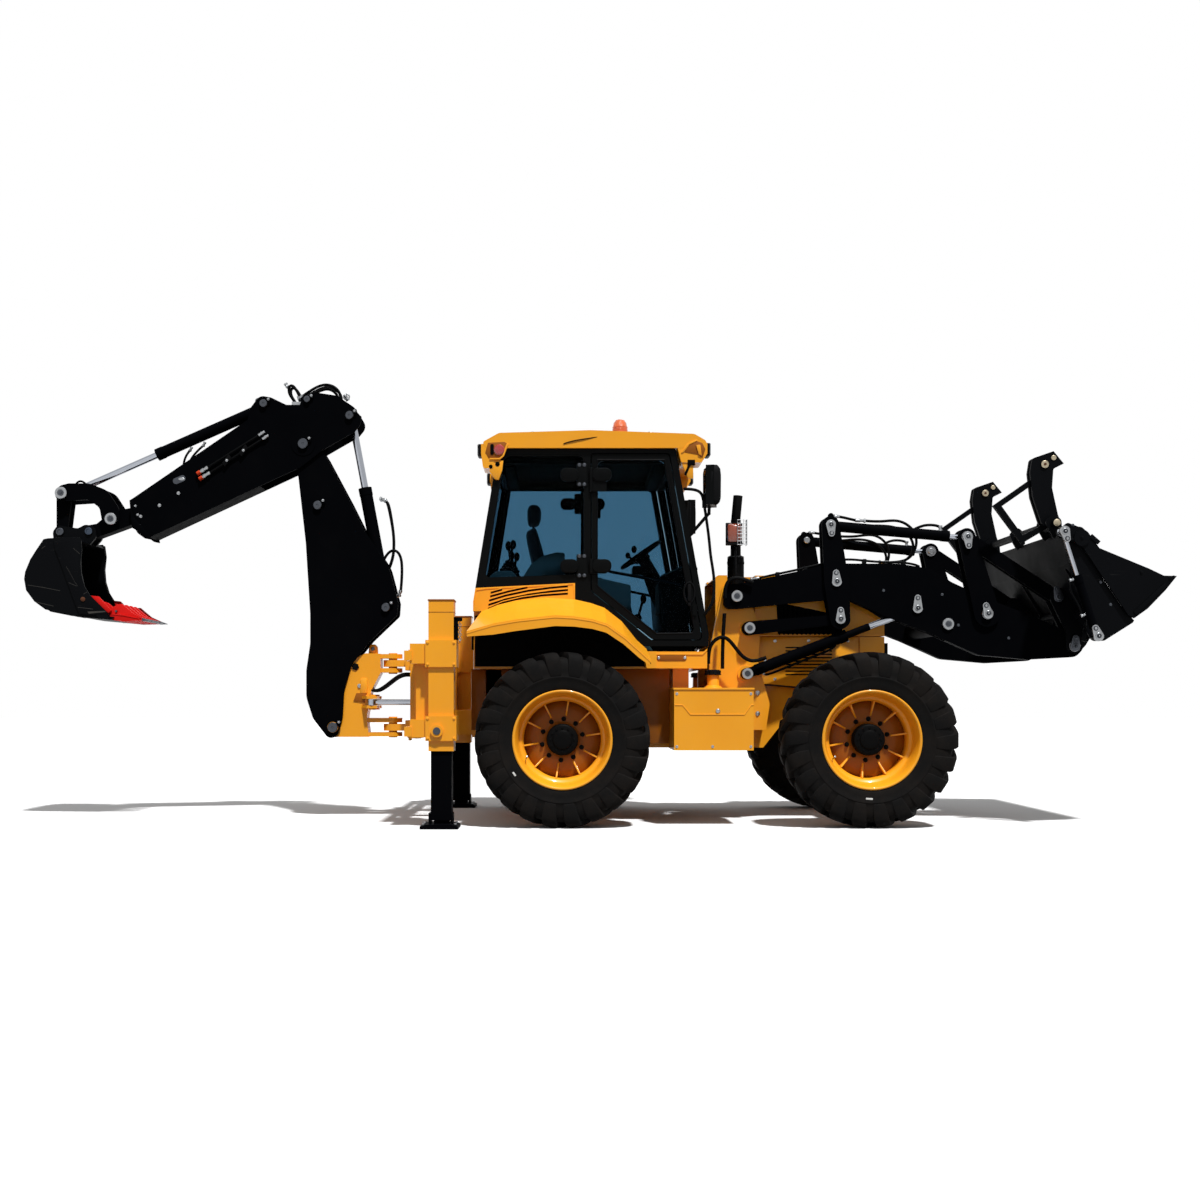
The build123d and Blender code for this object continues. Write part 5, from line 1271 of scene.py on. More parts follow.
def keeper_piece(name, body, at_pin, lift, face, finish="zinc"):
    """A keeper on each side, with the dark rings around its bolt and its grease nipple."""
    for side_name, side in SIDES.items():
        Shape(side).keeper(at_pin, lift, face).piece(f"{name}_{side_name}", body, "pin_steel", finish, 1.5)
        marks = Shape(side)
        marks.turned(
            (at_pin[0], face + KEEPER_T + 7, at_pin[1]), Y_AXIS,
            [(0, 18), (2.6, 18), (2.6, 11), (1, 11), (1, 0)], 24
        )
        marks.turned(
            (at_pin[0] + lift[0] * 0.98, face + KEEPER_T - 1, at_pin[1] + lift[1] * 0.98), Y_AXIS,
            [(0, 18), (2.4, 18)], 20
        )
        marks.piece(f"{name}_marks_{side_name}", body, "pin_steel", "dark_steel_and_painted_shade", 0)


def cap_piece(name, body, at_pin, radius, face, finish="zinc", dark=True):
    """A round pin end, standing on the face at y, with its turned centre."""
    x, z = at_pin
    for side_name, side in SIDES.items():
        cap = Shape(side)
        profile = [
            (0, radius), (9, radius), (12, radius - 3), (12, radius * 0.6), (7, radius * 0.56), (7, 0)
        ]
        cap.turned((x, face, z), Y_AXIS, profile, 36)
        cap.piece(f"{name}_{side_name}", body, "pin_steel", finish, 0)
        if dark:
            Shape(side).turned(
                (x, face + 6, z), Y_AXIS,
                [(0, radius * 0.5), (4, radius * 0.5), (5, radius * 0.2), (9, radius * 0.16), (9, 0)], 24
            ).piece(f"{name}_centre_{side_name}", body, "pin_steel", "dark_steel_and_painted_shade", 0)


def beside_ram(along, above, side=1):
    """A place by a lift ram, from its base along it and square off it."""
    x = LIFT_BASE[0] + LIFT_WAY.x * along - LIFT_WAY.y * above
    return (x, ARM_Y * side, LIFT_BASE[1] + LIFT_WAY.y * along + LIFT_WAY.x * above)


def loader_pins():
    """Keepers and round pin ends of the loader."""
    keeper_piece("keeper_lever_top", "rear_levers", LEVER_TOP, (5, -66), LEVER_FACE)
    keeper_piece("keeper_lever_mid", "rear_levers", LEVER_MID, (-6, 66), LEVER_FACE)
    keeper_piece("keeper_lever_low", "rear_levers", LEVER_LOW, (0, 66), LEVER_FACE)
    keeper_piece("keeper_lift_front", "arms", LIFT_FRONT, (0, 78), ARM_FACE)
    keeper_piece("keeper_front_top", "link_pins", FRONT_LEVER_TOP, (8, -68), FRONT_FACE)
    keeper_piece("keeper_front_mid", "lever_pins", FRONT_LEVER_MID, (-16, 60), FRONT_FACE)
    # These two keepers are zinc in the shadow of the ram; their dark steel is painted shade.
    keeper_piece("keeper_tilt", "loader_bucket", TILT_PIN, (-14, 58), FRONT_FACE, "dark_steel_and_painted_shade")
    keeper_piece("keeper_bucket", "bucket_pins", BUCKET_HINGE, (4, 62), FRONT_FACE, "dark_steel_and_painted_shade")
    keeper_piece("keeper_clam_base", "loader_bucket", CLAM_BASE, (-22, 56), CLAM_FACE)
    keeper_piece("keeper_clam_ear", "clam_rods", CLAM_EAR, (16, -54), CLAM_FACE)
    cap_piece("cap_arm_pivot", "machine", ARM_PIVOT, 44, BASE_FACE)
    cap_piece("cap_link_pivot", "machine", LINK_PIVOT, 43, BASE_FACE)
    cap_piece("cap_lift_base", "machine", LIFT_BASE, 43, BASE_FACE)
    cap_piece("cap_cross_tube", "arms", CROSS_TUBE, 44, 585)
    for name, body, place in (
        ("lever_top", "rear_levers", LEVER_TOP),
        ("lever_mid", "rear_levers", LEVER_MID),
        ("lever_low", "rear_levers", LEVER_LOW),
        ("front_top", "link_pins", FRONT_LEVER_TOP),
        ("front_mid", "lever_pins", FRONT_LEVER_MID),
        ("bucket", "bucket_pins", BUCKET_HINGE),
    ):
        for side_name, side in SIDES.items():
            Shape(side).turned(
                (place[0], LEVER_IN, place[1]), (0, -1, 0), [(0, 26), (5, 26), (8, 22), (8, 0)], 28
            ).piece(f"inner_end_{name}_{side_name}", body, "pin_steel", "zinc", 0)


def ram_lines():
    """Necks, pipes and hoses of the lift and tilt rams."""
    tubes = Shape()
    lift = [between(LIFT_BASE, LIFT_FRONT, k / 1384.0) for k in (812, 1003)]
    for side in BOTH:
        y = ARM_Y * side
        tubes.turned(
            (lift[0][0], y, lift[0][1]), (lift[1][0] - lift[0][0], 0, lift[1][1] - lift[0][1]),
            [(0, 30), (8, 27.5), (180, 27.5), (188, 26.4)], 32
        )
    tubes.piece("lift_ram_necks", "lift_barrels", "arm_black", bevel=1)
    fit = Shape()
    route = (
        (120, -40), (124, -56), (150, -66), (260, -64), (400, -62), (560, -62), (680, -58), (716, -42),
        (722, -16)
    )
    below, above = (0.36, 0, -0.93), (-0.36, 0, 0.93)
    for side in BOTH:
        for along, up, way in ((120, -26, below), (722, -8, below), (166, 38, above)):
            fit.turned(
                beside_ram(along, up, side), way,
                [(0, 16), (10, 16), (11, 11), (18, 11), (19, 14), (26, 14)], 16
            )
    fit.piece("lift_ram_fittings", "lift_barrels", "pin_steel", "zinc", 1)
    hoses("lift_ram_pipes", "lift_barrels", 9, [[beside_ram(*place) for place in route]], BOTH)
    fit = Shape()
    for side in BOTH:
        y = ARM_Y * side
        fit.turned((2072, y, 2290), UP, [(0, 19), (12, 19), (13, 12), (30, 12), (31, 17), (46, 17)], 16)
        fit.turned((2068, y, 2327), (1, 0, 0), [(0, 15), (8, 17), (26, 17), (28, 12), (44, 12)], 16)
        fit.turned((2880, y, 2214), UP, [(0, 19), (10, 19), (11, 12), (26, 12), (27, 17), (44, 17)], 16)
    fit.piece("tilt_ram_fittings", "tilt_barrels", "pin_steel", "zinc", 1)
    hoses("tilt_ram_hoses", "tilt_barrels", 10.5, [
        [(2100, 540, 2327), (2150, 540, 2320), (2200, 532, 2306), (2235, 528, 2300)],
        [
            (2300, 526, 2297), (2412, 518, 2288), (2500, 506, 2302), (2590, 466, 2305), (2660, 466, 2268),
            (2706, 466, 2215), (2724, 466, 2134), (2696, 466, 2050), (2636, 466, 1994), (2560, 466, 1986),
            (2500, 466, 1984)
        ],
        [
            (2270, 520, 2252), (2360, 502, 2262), (2450, 466, 2266), (2545, 472, 2258), (2634, 472, 2220),
            (2686, 462, 2160), (2700, 462, 2090), (2676, 462, 2030), (2620, 462, 1992)
        ],
        [(2695, 510, 2236), (2744, 524, 2260), (2800, 536, 2266), (2850, 540, 2260), (2872, 540, 2250)],
    ], BOTH)
    ferrules("tilt_ram_ferrules", "tilt_barrels", 10.5, [
        ((2235, 528, 2300), (1, 0, -0.05), 66),
        ((2500, 466, 1984), (-1, 0, 0.03), 60),
        ((2258, 520, 2250), (1, 0, 0.08), 40),
    ], BOTH)


def arm_trim():
    """Pipes, clips and bolts of the loader's arms."""
    hoses("arm_top_pipes", "arms", 9, [
        [(2110, 540, 1996), (2180, 540, 2002), (2260, 540, 1996), (2360, 540, 1984), (2440, 520, 1982)],
        [(2440, 540, 1978), (2560, 540, 1980), (2650, 540, 1970), (2700, 540, 1958), (2722, 540, 1944)],
        [
            (1500, 540, 1858), (1594, 540, 1880), (1700, 540, 1902), (1795, 540, 1922), (1900, 540, 1946),
            (2000, 540, 1970), (2110, 540, 1996)
        ],
    ], BOTH)
    ferrules("arm_top_ferrules", "arms", 10, [
        ((1500, 540, 1858), (-1, 0, -0.16), 54),
        ((2110, 540, 1996), (-1, 0, -0.2), 44),
    ], BOTH)
    clips = Shape()
    for side in BOTH:
        y = ARM_Y * side
        for x, z in ((1640, 1872), (1850, 1914), (2300, 1972), (2600, 1958)):
            clips.block(x - 14, x + 14, y - 24, y + 24, z - 6, z + 30)
    clips.piece("arm_pipe_clips", "arms", "arm_black", "plastic", 3)
    bolts = Shape()
    for side in BOTH:
        for x, z in ((2440, 1760), (2885, 1730), (3008, 1498), (3390, 1400)):
            bolts.bolt((x, (ARM_FACE - 1) * side, z), (0, side, 0), 8, 7)
    bolts.piece("arm_bolts", "arms", "arm_black", "dark_steel_and_painted_shade", 0.6)


def claw_trim():
    claws = Shape()
    dots = Shape()
    rods = Shape()
    for middle in (-CLAW_Y, CLAW_Y):
        for face, sign in ((middle - 52, -1), (middle + 52, 1)):
            x, z = bucket_at(641, 1217)
            claws.turned((x, face - sign, z), (0, sign, 0), [(0, 28), (6, 28), (8, 25), (8, 0)], 32)
            dots.turned((x, face + sign * 6, z), (0, sign, 0), [(0, 10), (4, 10), (5, 0)], 20)
        for face, sign in ((middle - 45, -1), (middle + 45, 1)):
            x, z = bucket_at(724, 1212)
            claws.turned((x, face - sign, z), (0, sign, 0), [(0, 19), (7, 19), (9, 16), (9, 0)], 28)
        for u, v in ((548, 1110), (465, 935)):
            x, z = bucket_at(u, v)
            rods.rod((x, middle - 46, z), (x, middle + 46, z), 12, 16)
    for y, sign in ((-910, -1), (910, 1)):
        x, z = bucket_at(397, 840)
        claws.turned((x, y - sign, z), (0, sign, 0), [(0, 26), (8, 26), (10, 22), (10, 0)], 28)
    claws.piece("claw_pins", "grapple_arms", "pin_steel", "steel_tan", 0)
    dots.piece("claw_pin_centres", "grapple_arms", "pin_steel", "rust", 0)
    rods.piece("claw_spacers", "grapple_arms", "arm_black", "bucket_black", 0)


def bucket_trim():
    """Bolts, wear strips and ribs of the loader bucket and its clam."""
    edge = Shape()
    for k in range(11):
        y = -1000 + 200 * k
        for u, v in ((650, 24), (566, 12)):
            x, z = bucket_at(u, v)
            edge.turned(
                (x, y, z), (-math.sin(BUCKET_TURN), 0, math.cos(BUCKET_TURN)),
                [(-2, 22), (3, 22), (5, 14), (5, 0)], 20
            )
    edge.piece("cutting_edge_bolts", "clam", "pin_steel", "dark_steel_and_painted_shade", 0)
    for side_name, side in SIDES.items():
        wear = Shape(side)
        for u0, v0, u1, v1 in ((330, 6, 640, 20), (460, 560, 448, 640)):
            a, b = bucket_at(u0, v0), bucket_at(u1, v1)
            across = Vector((b[1] - a[1], a[0] - b[0])).normalized() * 15
            corners = ((a, -1), (b, -1), (b, 1), (a, 1))
            wear.plate(
                [(p[0] + way * across.x, p[1] + way * across.y) for p, way in corners], CLAM_SIDE,
                CLAM_SIDE + 10
            )
        for u, v in ((690, 34), (330, 700), (560, 200), (388, 669)):
            x, z = bucket_at(u, v)
            wear.bolt((x, CLAM_SIDE + (1 if u != 388 else 15), z), Y_AXIS, 11, 10)
        wear.piece(f"clam_wear_{side_name}", "clam", "arm_black", "bucket_black", 2)
    ribs = Shape()
    for k in range(6):
        y = -900 + 360 * k
        a = [bucket_at(u, v) for u, v in (
            (-6, 30), (206, 210), (216, 364), (236, 530), (224, 534), (198, 366), (176, 220), (-20, 60)
        )]
        if abs(y) > 640 or abs(y) < 460:
            ribs.plate(a, y - 7, y + 7)
    ribs.piece("bucket_ribs", "loader_bucket", "arm_black", "bucket_black", 2)
    scrape = Shape()
    for side in BOTH:
        for u, v in ((410, 775), (360, 560), (300, 330), (250, 160)):
            x, z = bucket_at(u, v)
            scrape.bolt((x, 1099 * side, z), (0, side, 0), 8, 6)
    scrape.piece("bucket_side_bolts", "loader_bucket", "arm_black", "dark_steel_and_painted_shade", 0.5)


def clam_lines():
    """The pipe beside each clam ram."""
    y = 1172
    out = Vector((CLAM_EAR[1] - CLAM_BASE[1], CLAM_BASE[0] - CLAM_EAR[0])).normalized()
    ends = (between(CLAM_BASE, CLAM_EAR, 0.22), between(CLAM_BASE, CLAM_EAR, 0.56))
    joins = [((x - out.x * 28, y, z - out.y * 28), (-out.x, 0, -out.y), 22) for x, z in ends]
    a, b = [Vector(end) - out * 52 for end in ends]
    run = [
        (a.x, y, a.y),
        (a.x - out.x * 16, y - 4, a.y + 60),
        ((a.x + b.x) / 2 - out.x * 14, y - 6, (a.y + b.y) / 2),
        (b.x - out.x * 14, y - 4, b.y - 60),
        (b.x, y, b.y),
    ]
    hoses("clam_ram_pipes", "clam_barrels", 7, [run], BOTH)
    ferrules("clam_ram_fittings", "clam_barrels", 8, joins, BOTH)


# Digger


def tail_pin(name, body, place, radius, face, finish="dark_steel_and_painted_shade"):
    """A pin's round end beside its small locking plate, on both faces."""
    x, z = place
    for side_name, side in SIDES.items():
        Shape(side).turned(
            (x, face, z), Y_AXIS, [(0, radius), (10, radius), (14, radius - 4), (14, 9), (11, 7), (11, 0)],
            32
        ).piece(f"{name}_{side_name}", body, "pin_steel", finish, 0)
        lock = Shape(side)
        lock.plate(
            rounded_bar(x + radius * 0.6, x + radius + 26, z + radius * 0.3, z + radius + 16, 9), face - 10,
            face + 8
        )
        lock.bolt((x + radius + 10, face + 7, z + radius + 2), Y_AXIS, 9, 8)
        lock.piece(f"{name}_lock_{side_name}", body, "arm_black", bevel=1)
        Shape(side).bolt((x + radius + 10, face + 8, z + radius + 2), Y_AXIS, 8, 9).piece(
            f"{name}_bolt_{side_name}", body, "pin_steel", "zinc", 0.5
        )


def digger_pins():
    tail_pin("pin_boom_foot", "swing_post", BOOM_FOOT, 40, BOOM_FACE)
    tail_pin("pin_boom_ram", "boom", BOOM_RAM_TOP, 34, BOOM_FACE)
    tail_pin("pin_dipper_base", "boom", DIPPER_RAM_BASE, 34, BOOM_FACE)
    tail_pin("pin_dipper", "dipper", DIPPER_PIN, 40, HEAD_FACE)
    tail_pin("pin_dipper_ram", "dipper", DIPPER_RAM_TOP, 32, HEAD_FACE)
    tail_pin("pin_bucket_ram", "dipper", BUCKET_RAM_BASE, 30, HEAD_FACE)
    tail_pin("pin_dipper_tail", "dipper", (-2015, 3305), 25, HEAD_FACE)
    for name, place in (("link_a", LINK_A), ("link_b", LINK_B)):
        cap_piece(f"ring_{name}", "arch_links", place, 47, DIPPER_FACE)
    cap_piece("pin_dig_hinge", "digger_bucket", DIG_HINGE, 30, 91, "steel_blue", False)
    cap_piece("pin_dig_link", "digger_bucket", DIG_LINK_PIN, 30, 91, "dark_steel_and_painted_shade", False)


def digger_sides(side_name, side):
    """Plates, bolts, couplers and scuffs on the dipper's and the digger bucket's sides."""
    face = DIPPER_FACE
    oval = Shape(side)
    t = math.radians(22)
    points = []
    for u in turns(24):
        px, pz = 27 * (1 if math.cos(u) > 0 else -1) + 25 * math.cos(u), 25 * math.sin(u)
        points.append((
            -3026 + px * math.cos(t) - pz * math.sin(t), 2670 + px * math.sin(t) + pz * math.cos(t)
        ))
    oval.plate(points, face - 1, face + 3)
    oval.piece(f"dipper_slot_{side_name}", "dipper", "pin_steel", "dark_steel_and_painted_shade", 1)
    glint = Shape(side)
    glint.ball((-3008, face + 3, 2676), (26, 4, 12), 16)
    for x, z, r in (
        (-3033, 2564, 10), (-3183, 2468, 10), (-3375, 2463, 8), (-3356, 2393, 9), (-3331, 2381, 9),
        (-3339, 2309, 8), (-3311, 2275, 8)
    ):
        glint.bolt((x, face - 1, z), Y_AXIS, r, 9)
    glint.piece(f"dipper_bolts_{side_name}", "dipper", "pin_steel", "zinc", 0.5)
    nose = Shape(side)
    nose.plate([
        (-3407, 2368), (-3378, 2371), (-3255, 2225), (-3250, 2196), (-3297, 2206), (-3351, 2246),
        (-3395, 2317)
    ], face - 2, face + 14)
    nose.plate([(-3420, 2505), (-3395, 2522), (-3330, 2330), (-3352, 2318)], face - 2, face + 6)
    nose.piece(f"dipper_nose_plate_{side_name}", "dipper", "arm_black", bevel=2)
    pipes = Shape(side)
    caps = Shape(side)
    couplers = Shape(side)
    for x0, z0, x1, z1 in ((-2869, 2721, -2389, 3023), (-2852, 2679, -2359, 2993)):
        a, b = Vector((x0, face + 16, z0)), Vector((x1, face + 16, z1))
        d = (b - a).normalized()
        pipes.rod(a + d * 70, b, 8, 16)
        caps.turned(a - d * 16, d, [(0, 13), (3, 17), (30, 17), (33, 12)], 20)
        couplers.turned(a + d * 14, d, [
            (0, 13), (10, 13), (11, 17), (34, 17), (35, 13), (52, 13), (53, 15), (70, 15), (74, 9)
        ], 20)
        couplers.turned(b - d * 8, d, [(0, 12), (22, 12), (23, 15), (34, 15), (35, 11), (56, 11)], 16)
    for x, z in ((-2642, 2822), (-2511, 2901)):
        pipes.plate([
            (x - 40, z - 22), (x - 20, z - 52), (x + 34, z + 16), (x + 12, z + 46)
        ], face - 2, face + 28)
        couplers.bolt((x - 3, face + 27, z - 3), Y_AXIS, 8, 8)
    pipes.piece(f"coupler_pipes_{side_name}", "dipper", "arm_black", "hose_black", 2)
    caps.piece(f"coupler_caps_{side_name}", "dipper", "tooth_red", "cap_red", 1)
    couplers.piece(f"couplers_{side_name}", "dipper", "pin_steel", "zinc", 0.6)
    Shape(side).plate([
        (-3957, 2192), (-3774, 2196), (-3747, 2190), (-3735, 2100), (-3746, 1993), (-3738, 1895),
        (-3711, 1806), (-3666, 1734), (-3545, 1612), (-3560, 1592), (-3685, 1591), (-3756, 1600),
        (-3774, 1645), (-3837, 1815), (-3890, 1966), (-3950, 2120)
    ], SHELL_FACE - 1, WEAR_FACE).piece(
        f"digger_wear_plate_{side_name}", "digger_bucket", "arm_black", "bucket_black", 3
    )
    scuff = Shape(side)
    for y, lines in (
        (SHELL_FACE + 0.4, (
            [(-4160, 1824), (-4042, 1806), (-3908, 1779)],
            [(-4105, 1694), (-3960, 1660)],
            [(-4051, 2109), (-4024, 2127)],
        )),
        (WEAR_FACE + 0.4, (
            [(-3855, 1966), (-3819, 1904), (-3792, 1850), (-3765, 1815)],
            [(-3836, 1841), (-3774, 1815)],
            [(-3801, 2109), (-3750, 2065)],
            [(-3765, 1650), (-3649, 1636)],
            [(-3722, 1752), (-3690, 1770)],
        )),
    ):
        for line in lines:
            ribbon(scuff, line, 1.6, y - 1, y)
    scuff.plate(
        [(-3680, 1600), (-3560, 1612), (-3545, 1618), (-3560, 1622), (-3690, 1616)], WEAR_FACE - 1,
        WEAR_FACE + 0.6
    )
    scuff.piece(f"digger_scuffs_{side_name}", "digger_bucket", "arm_black", "scuff", 0)
    Shape(side).turned(
        (-3725, WEAR_FACE - 1, 1712), Y_AXIS, [(0, 18), (7, 18), (10, 12), (10, 0)], 24
    ).piece(f"digger_plate_bolt_{side_name}", "digger_bucket", "pin_steel", "rust", 0)
    cutter = Shape(side)
    cutter.plate([(-3672, 1742), (-3613, 1736), (-3512, 1628), (-3532, 1606), (-3560, 1618)], 268, 298)
    cutter.plate([(-3640, 1716), (-3560, 1690), (-3480, 1622), (-3510, 1600), (-3570, 1622)], 200, 226)
    cutter.piece(f"side_cutter_{side_name}", "digger_bucket", "tooth_red", bevel=3)


def digger_edge():
    """Teeth, lip and wear strips of the digger bucket."""
    tops = Shape()
    worn = Shape()
    for i in range(5):
        y = -245 + 122.5 * i
        tops.plate([
            (-3575, 1592), (-3530, 1640), (-3474, 1676), (-3440, 1680), (-3350, 1604), (-3270, 1568),
            (-3420, 1586)
        ], y - 20, y + 20)
        tops.plate([
            (-3560, 1600), (-3440, 1600), (-3300, 1568), (-3300, 1560), (-3420, 1582)
        ], y - 37, y + 37)
        worn.plate([(-3276, 1570), (-3226, 1551), (-3226, 1547), (-3280, 1545)], y - 35, y + 35)
        worn.turned((-3480, y - 38, 1622), Y_AXIS, [(0, 9), (76, 9)], 14)
    tops.piece("tooth_tops", "digger_bucket", "tooth_red", bevel=2)
    worn.piece("tooth_tips", "digger_bucket", "pin_steel", "dark_steel_and_painted_shade", 1)
    Shape().plate([
        (-3600, 1584), (-3500, 1578), (-3490, 1572), (-3500, 1566), (-3600, 1570)
    ], -292, 292).piece("digger_lip", "digger_bucket", "arm_black", "bucket_black", 2)
    strips = Shape()
    for y in (-150, 0, 150):
        outline = [
            (-4038, 2181), (-4102, 2086), (-4142, 2022), (-4181, 1927), (-4189, 1871), (-4174, 1784),
            (-4110, 1697), (-4023, 1633), (-3864, 1601)
        ]
        middle = Vector((-3900, 1900))
        rings = []
        for x, z in outline:
            out = (Vector((x, z)) - middle).normalized()
            inward, outward = out * 6, out * 10
            near, far = (x - inward.x, z - inward.y), (x + outward.x, z + outward.y)
            rings.append([(u, y + dy, w) for (u, w), dy in ((near, -25), (near, 25), (far, 25), (far, -25))])
        strips.skin(rings)
    strips.piece("digger_wear_strips", "digger_bucket", "arm_black", "bucket_black", 2)


def digger_hoses():
    """Hoses of the digger's rams, with their crimped ends."""
    hoses("boom_head_hoses", "dipper", 11, [
        [
            (-2078, -30, 3280), (-2088, -34, 3340), (-2112, -36, 3390), (-2140, -34, 3432),
            (-2168, -26, 3438), (-2184, -16, 3410), (-2176, -12, 3360), (-2140, -10, 3320),
            (-2124, -10, 3280)
        ],
        [
            (-2070, 0, 3280), (-2080, 0, 3334), (-2102, 2, 3380), (-2132, 4, 3420), (-2160, 10, 3426),
            (-2174, 18, 3398), (-2166, 22, 3350), (-2132, 24, 3312), (-2122, 24, 3280)
        ],
        [
            (-2064, -40, 3350), (-1986, -44, 3404), (-1925, -44, 3434), (-1868, -44, 3442),
            (-1800, -44, 3420), (-1760, -44, 3364), (-1766, -44, 3312)
        ],
        [
            (-2064, -14, 3340), (-1970, -14, 3378), (-1915, -14, 3404), (-1868, -14, 3414),
            (-1816, -14, 3392), (-1786, -14, 3350), (-1790, -14, 3320)
        ],
        [
            (-2064, 30, 3350), (-1986, 34, 3400), (-1925, 34, 3430), (-1868, 34, 3438), (-1800, 34, 3414),
            (-1762, 34, 3360), (-1768, 34, 3312)
        ],
    ])
    ferrules("boom_head_ferrules", "dipper", 11, [
        ((-2064, -40, 3350), (-1, 0, -0.5), 34),
        ((-2064, -14, 3340), (-1, 0, -0.5), 34),
        ((-2064, 30, 3350), (-1, 0, -0.5), 34),
        ((-2190, -24, 3424), (-0.6, 0, 1), 20),
        ((-2180, 14, 3410), (-0.6, 0, 1), 20),
        ((-1733, -30, 3362), (0.6, 0, -1), 40),
    ])
    sweep = Shape()
    sweep.ring((-1718, -30, 3345), Y_AXIS, 22, 6, 28)
    sweep.ring((-2423, -30, 3312), Y_AXIS, 20, 5, 28)
    sweep.block(-2150, -2060, -60, 60, 3255, 3300)
    sweep.piece("boom_head_fittings", "dipper", "pin_steel", "zinc", 1)
    hoses("bucket_ram_hoses", "dipper", 9, [
        [(-2961, -20, 2928), (-2985, -34, 2895), (-3004, -40, 2855), (-3016, -34, 2815), (-3020, -24, 2770)],
        [(-2860, 0, 2968), (-2900, -8, 2930), (-2938, -10, 2888), (-2970, -8, 2845), (-2990, 0, 2795)],
        [
            (-3000, 24, 2790), (-2996, 26, 2830), (-2975, 26, 2856), (-2944, 26, 2860), (-2908, 24, 2850),
            (-2885, 20, 2838)
        ],
    ])
    ferrules("bucket_ram_ferrules", "bucket_barrel", 9, [
        ((-2953, -20, 2948), (-0.45, 0, -0.9), 26),
        ((-2852, 0, 2990), (-0.45, 0, -0.9), 26),
    ])
    hoses("arch_hose", "arch_links", 8, [[
        (-3872, -70, 2626), (-3852, -70, 2660), (-3827, -70, 2672), (-3800, -70, 2662), (-3768, -70, 2630)
    ]])
    hoses("dipper_ram_hoses", "dipper_barrel", 11, [
        [
            (-1398, -44, 2510), (-1384, -44, 2480), (-1362, -44, 2373), (-1342, -42, 2254),
            (-1338, -40, 2135), (-1350, -36, 2050), (-1376, -30, 1990)
        ],
        [
            (-1440, -52, 1996), (-1400, -54, 2092), (-1342, -54, 2133), (-1292, -52, 2096),
            (-1270, -50, 2016), (-1276, -48, 1877), (-1284, -46, 1800)
        ],
        [
            (-1398, 30, 2510), (-1384, 32, 2480), (-1366, 32, 2373), (-1348, 30, 2254), (-1344, 28, 2135),
            (-1356, 24, 2050), (-1380, 20, 1990)
        ],
    ])
    ferrules("dipper_ram_ferrules", "dipper_barrel", 11, [
        ((-1402, -44, 2518), (-0.94, 0.2, 0.3), 40),
        ((-1284, -46, 1802), (-0.3, 0, -1), 38),
        ((-1402, 30, 2518), (-0.94, 0, 0.3), 40),
        ((-1300, -44, 1760), (-0.95, 0.2, -0.2), 36),
    ])
    Shape().block(-2000, -1978, -60, 60, 1560, 1580).piece("boom_web_stop", "boom", "arm_black", bevel=2)


# Rear frame, swing post and stabilisers


def stabilisers(name, side):
    """Cap, bolts, bracket and chain of a stabiliser, and the bolts of its foot."""
    # The caps are painted shade: dark orange in place of the shade on them.
    caps = Shape(side)
    caps.block(-971, -779, 949, 1141, 1644, 1656)
    caps.block(-968, -782, 952, 1138, 1560, 1566)
    caps.piece(f"stabiliser_cap_{name}", "machine", "machine_yellow", "painted_shade_yellow", 3)
    Shape(side).turned(
        (-903, 1178, 706), Y_AXIS, [(0, 27), (4, 27), (5, 20), (5, 0)], 28
    ).piece(f"sleeve_pin_{name}", "machine", "pin_steel", "dark_steel_and_painted_shade", 0)
    bolts = Shape(side)
    for z in (1186, 1342, 653, 795):
        for x in (-970, -780):
            bolts.bolt((x, 1156, z), Y_AXIS, 9, 8)
    bolts.piece(f"sleeve_bolts_{name}", "machine", "machine_yellow", bevel=0.6)
    bracket = Shape(side)
    bracket.block(-784, -756, 1060, 1130, 1362, 1526)
    bracket.block(-784, -726, 1060, 1130, 1500, 1526)
    bracket.piece(f"chain_bracket_{name}", "machine", "arm_black", bevel=3)
    chain = Shape(side)
    for k in range(9):
        axis = Y_AXIS if k % 2 else (1, 0, 0)
        chain.ring((-742, 1095, 1488 - 17 * k), axis, 10, 3, 16)
    chain.piece(f"stabiliser_chain_{name}", "machine", "pin_steel", "zinc", 0)
    foot = Shape(side)
    for x in (-1000, -775):
        for y in (1120, 970):
            foot.turned((x, y, 30), UP, [(0, 12), (10, 12), (12, 8)], 12)
    foot.piece(f"foot_bolts_{name}", f"leg_{name}", "pin_steel", "zinc", 0)


def carriage_trim():
    """Clamps of the carriage, the hoses to the swing post and its lug."""
    clamps = Shape()
    for y in (-270, 270):
        for z in (1296, 654):
            clamps.block(-1196, -1176, y - 46, y + 46, z - 40, z + 24)
            for dy in (-20, 20):
                clamps.bolt((-1195, y + dy, z - 8), (-1, 0, 0), 12, 12)
    clamps.piece("carriage_clamps", "carriage", "machine_yellow", bevel=3)
    knots = []
    for k in range(4):
        y = -70 + 46 * k
        dz = 10 * (k % 2)
        knots.append([
            (-1180, y, 1120 + dz), (-1260, y * 1.2, 1140 + dz), (-1340, y * 1.3, 1090 + dz),
            (-1430, y * 1.25, 1010 + dz), (-1500, y * 1.1, 990), (-1545, y * 0.9, 1030)
        ])
    hoses("swing_hoses", "swing_post", 12, knots)
    Shape().plate([
        (-1545, 1290), (-1540, 1352), (-1526, 1372), (-1490, 1372), (-1474, 1352), (-1470, 1290)
    ], -24, 24).piece("post_lug", "swing_post", "machine_yellow", bevel=4)
    Shape().turned((-1508, -27, 1338), Y_AXIS, [(0, 15), (54, 15)], 24).piece(
        "post_lug_eye", "swing_post", "pin_steel", "dark_steel_and_painted_shade", 1
    )


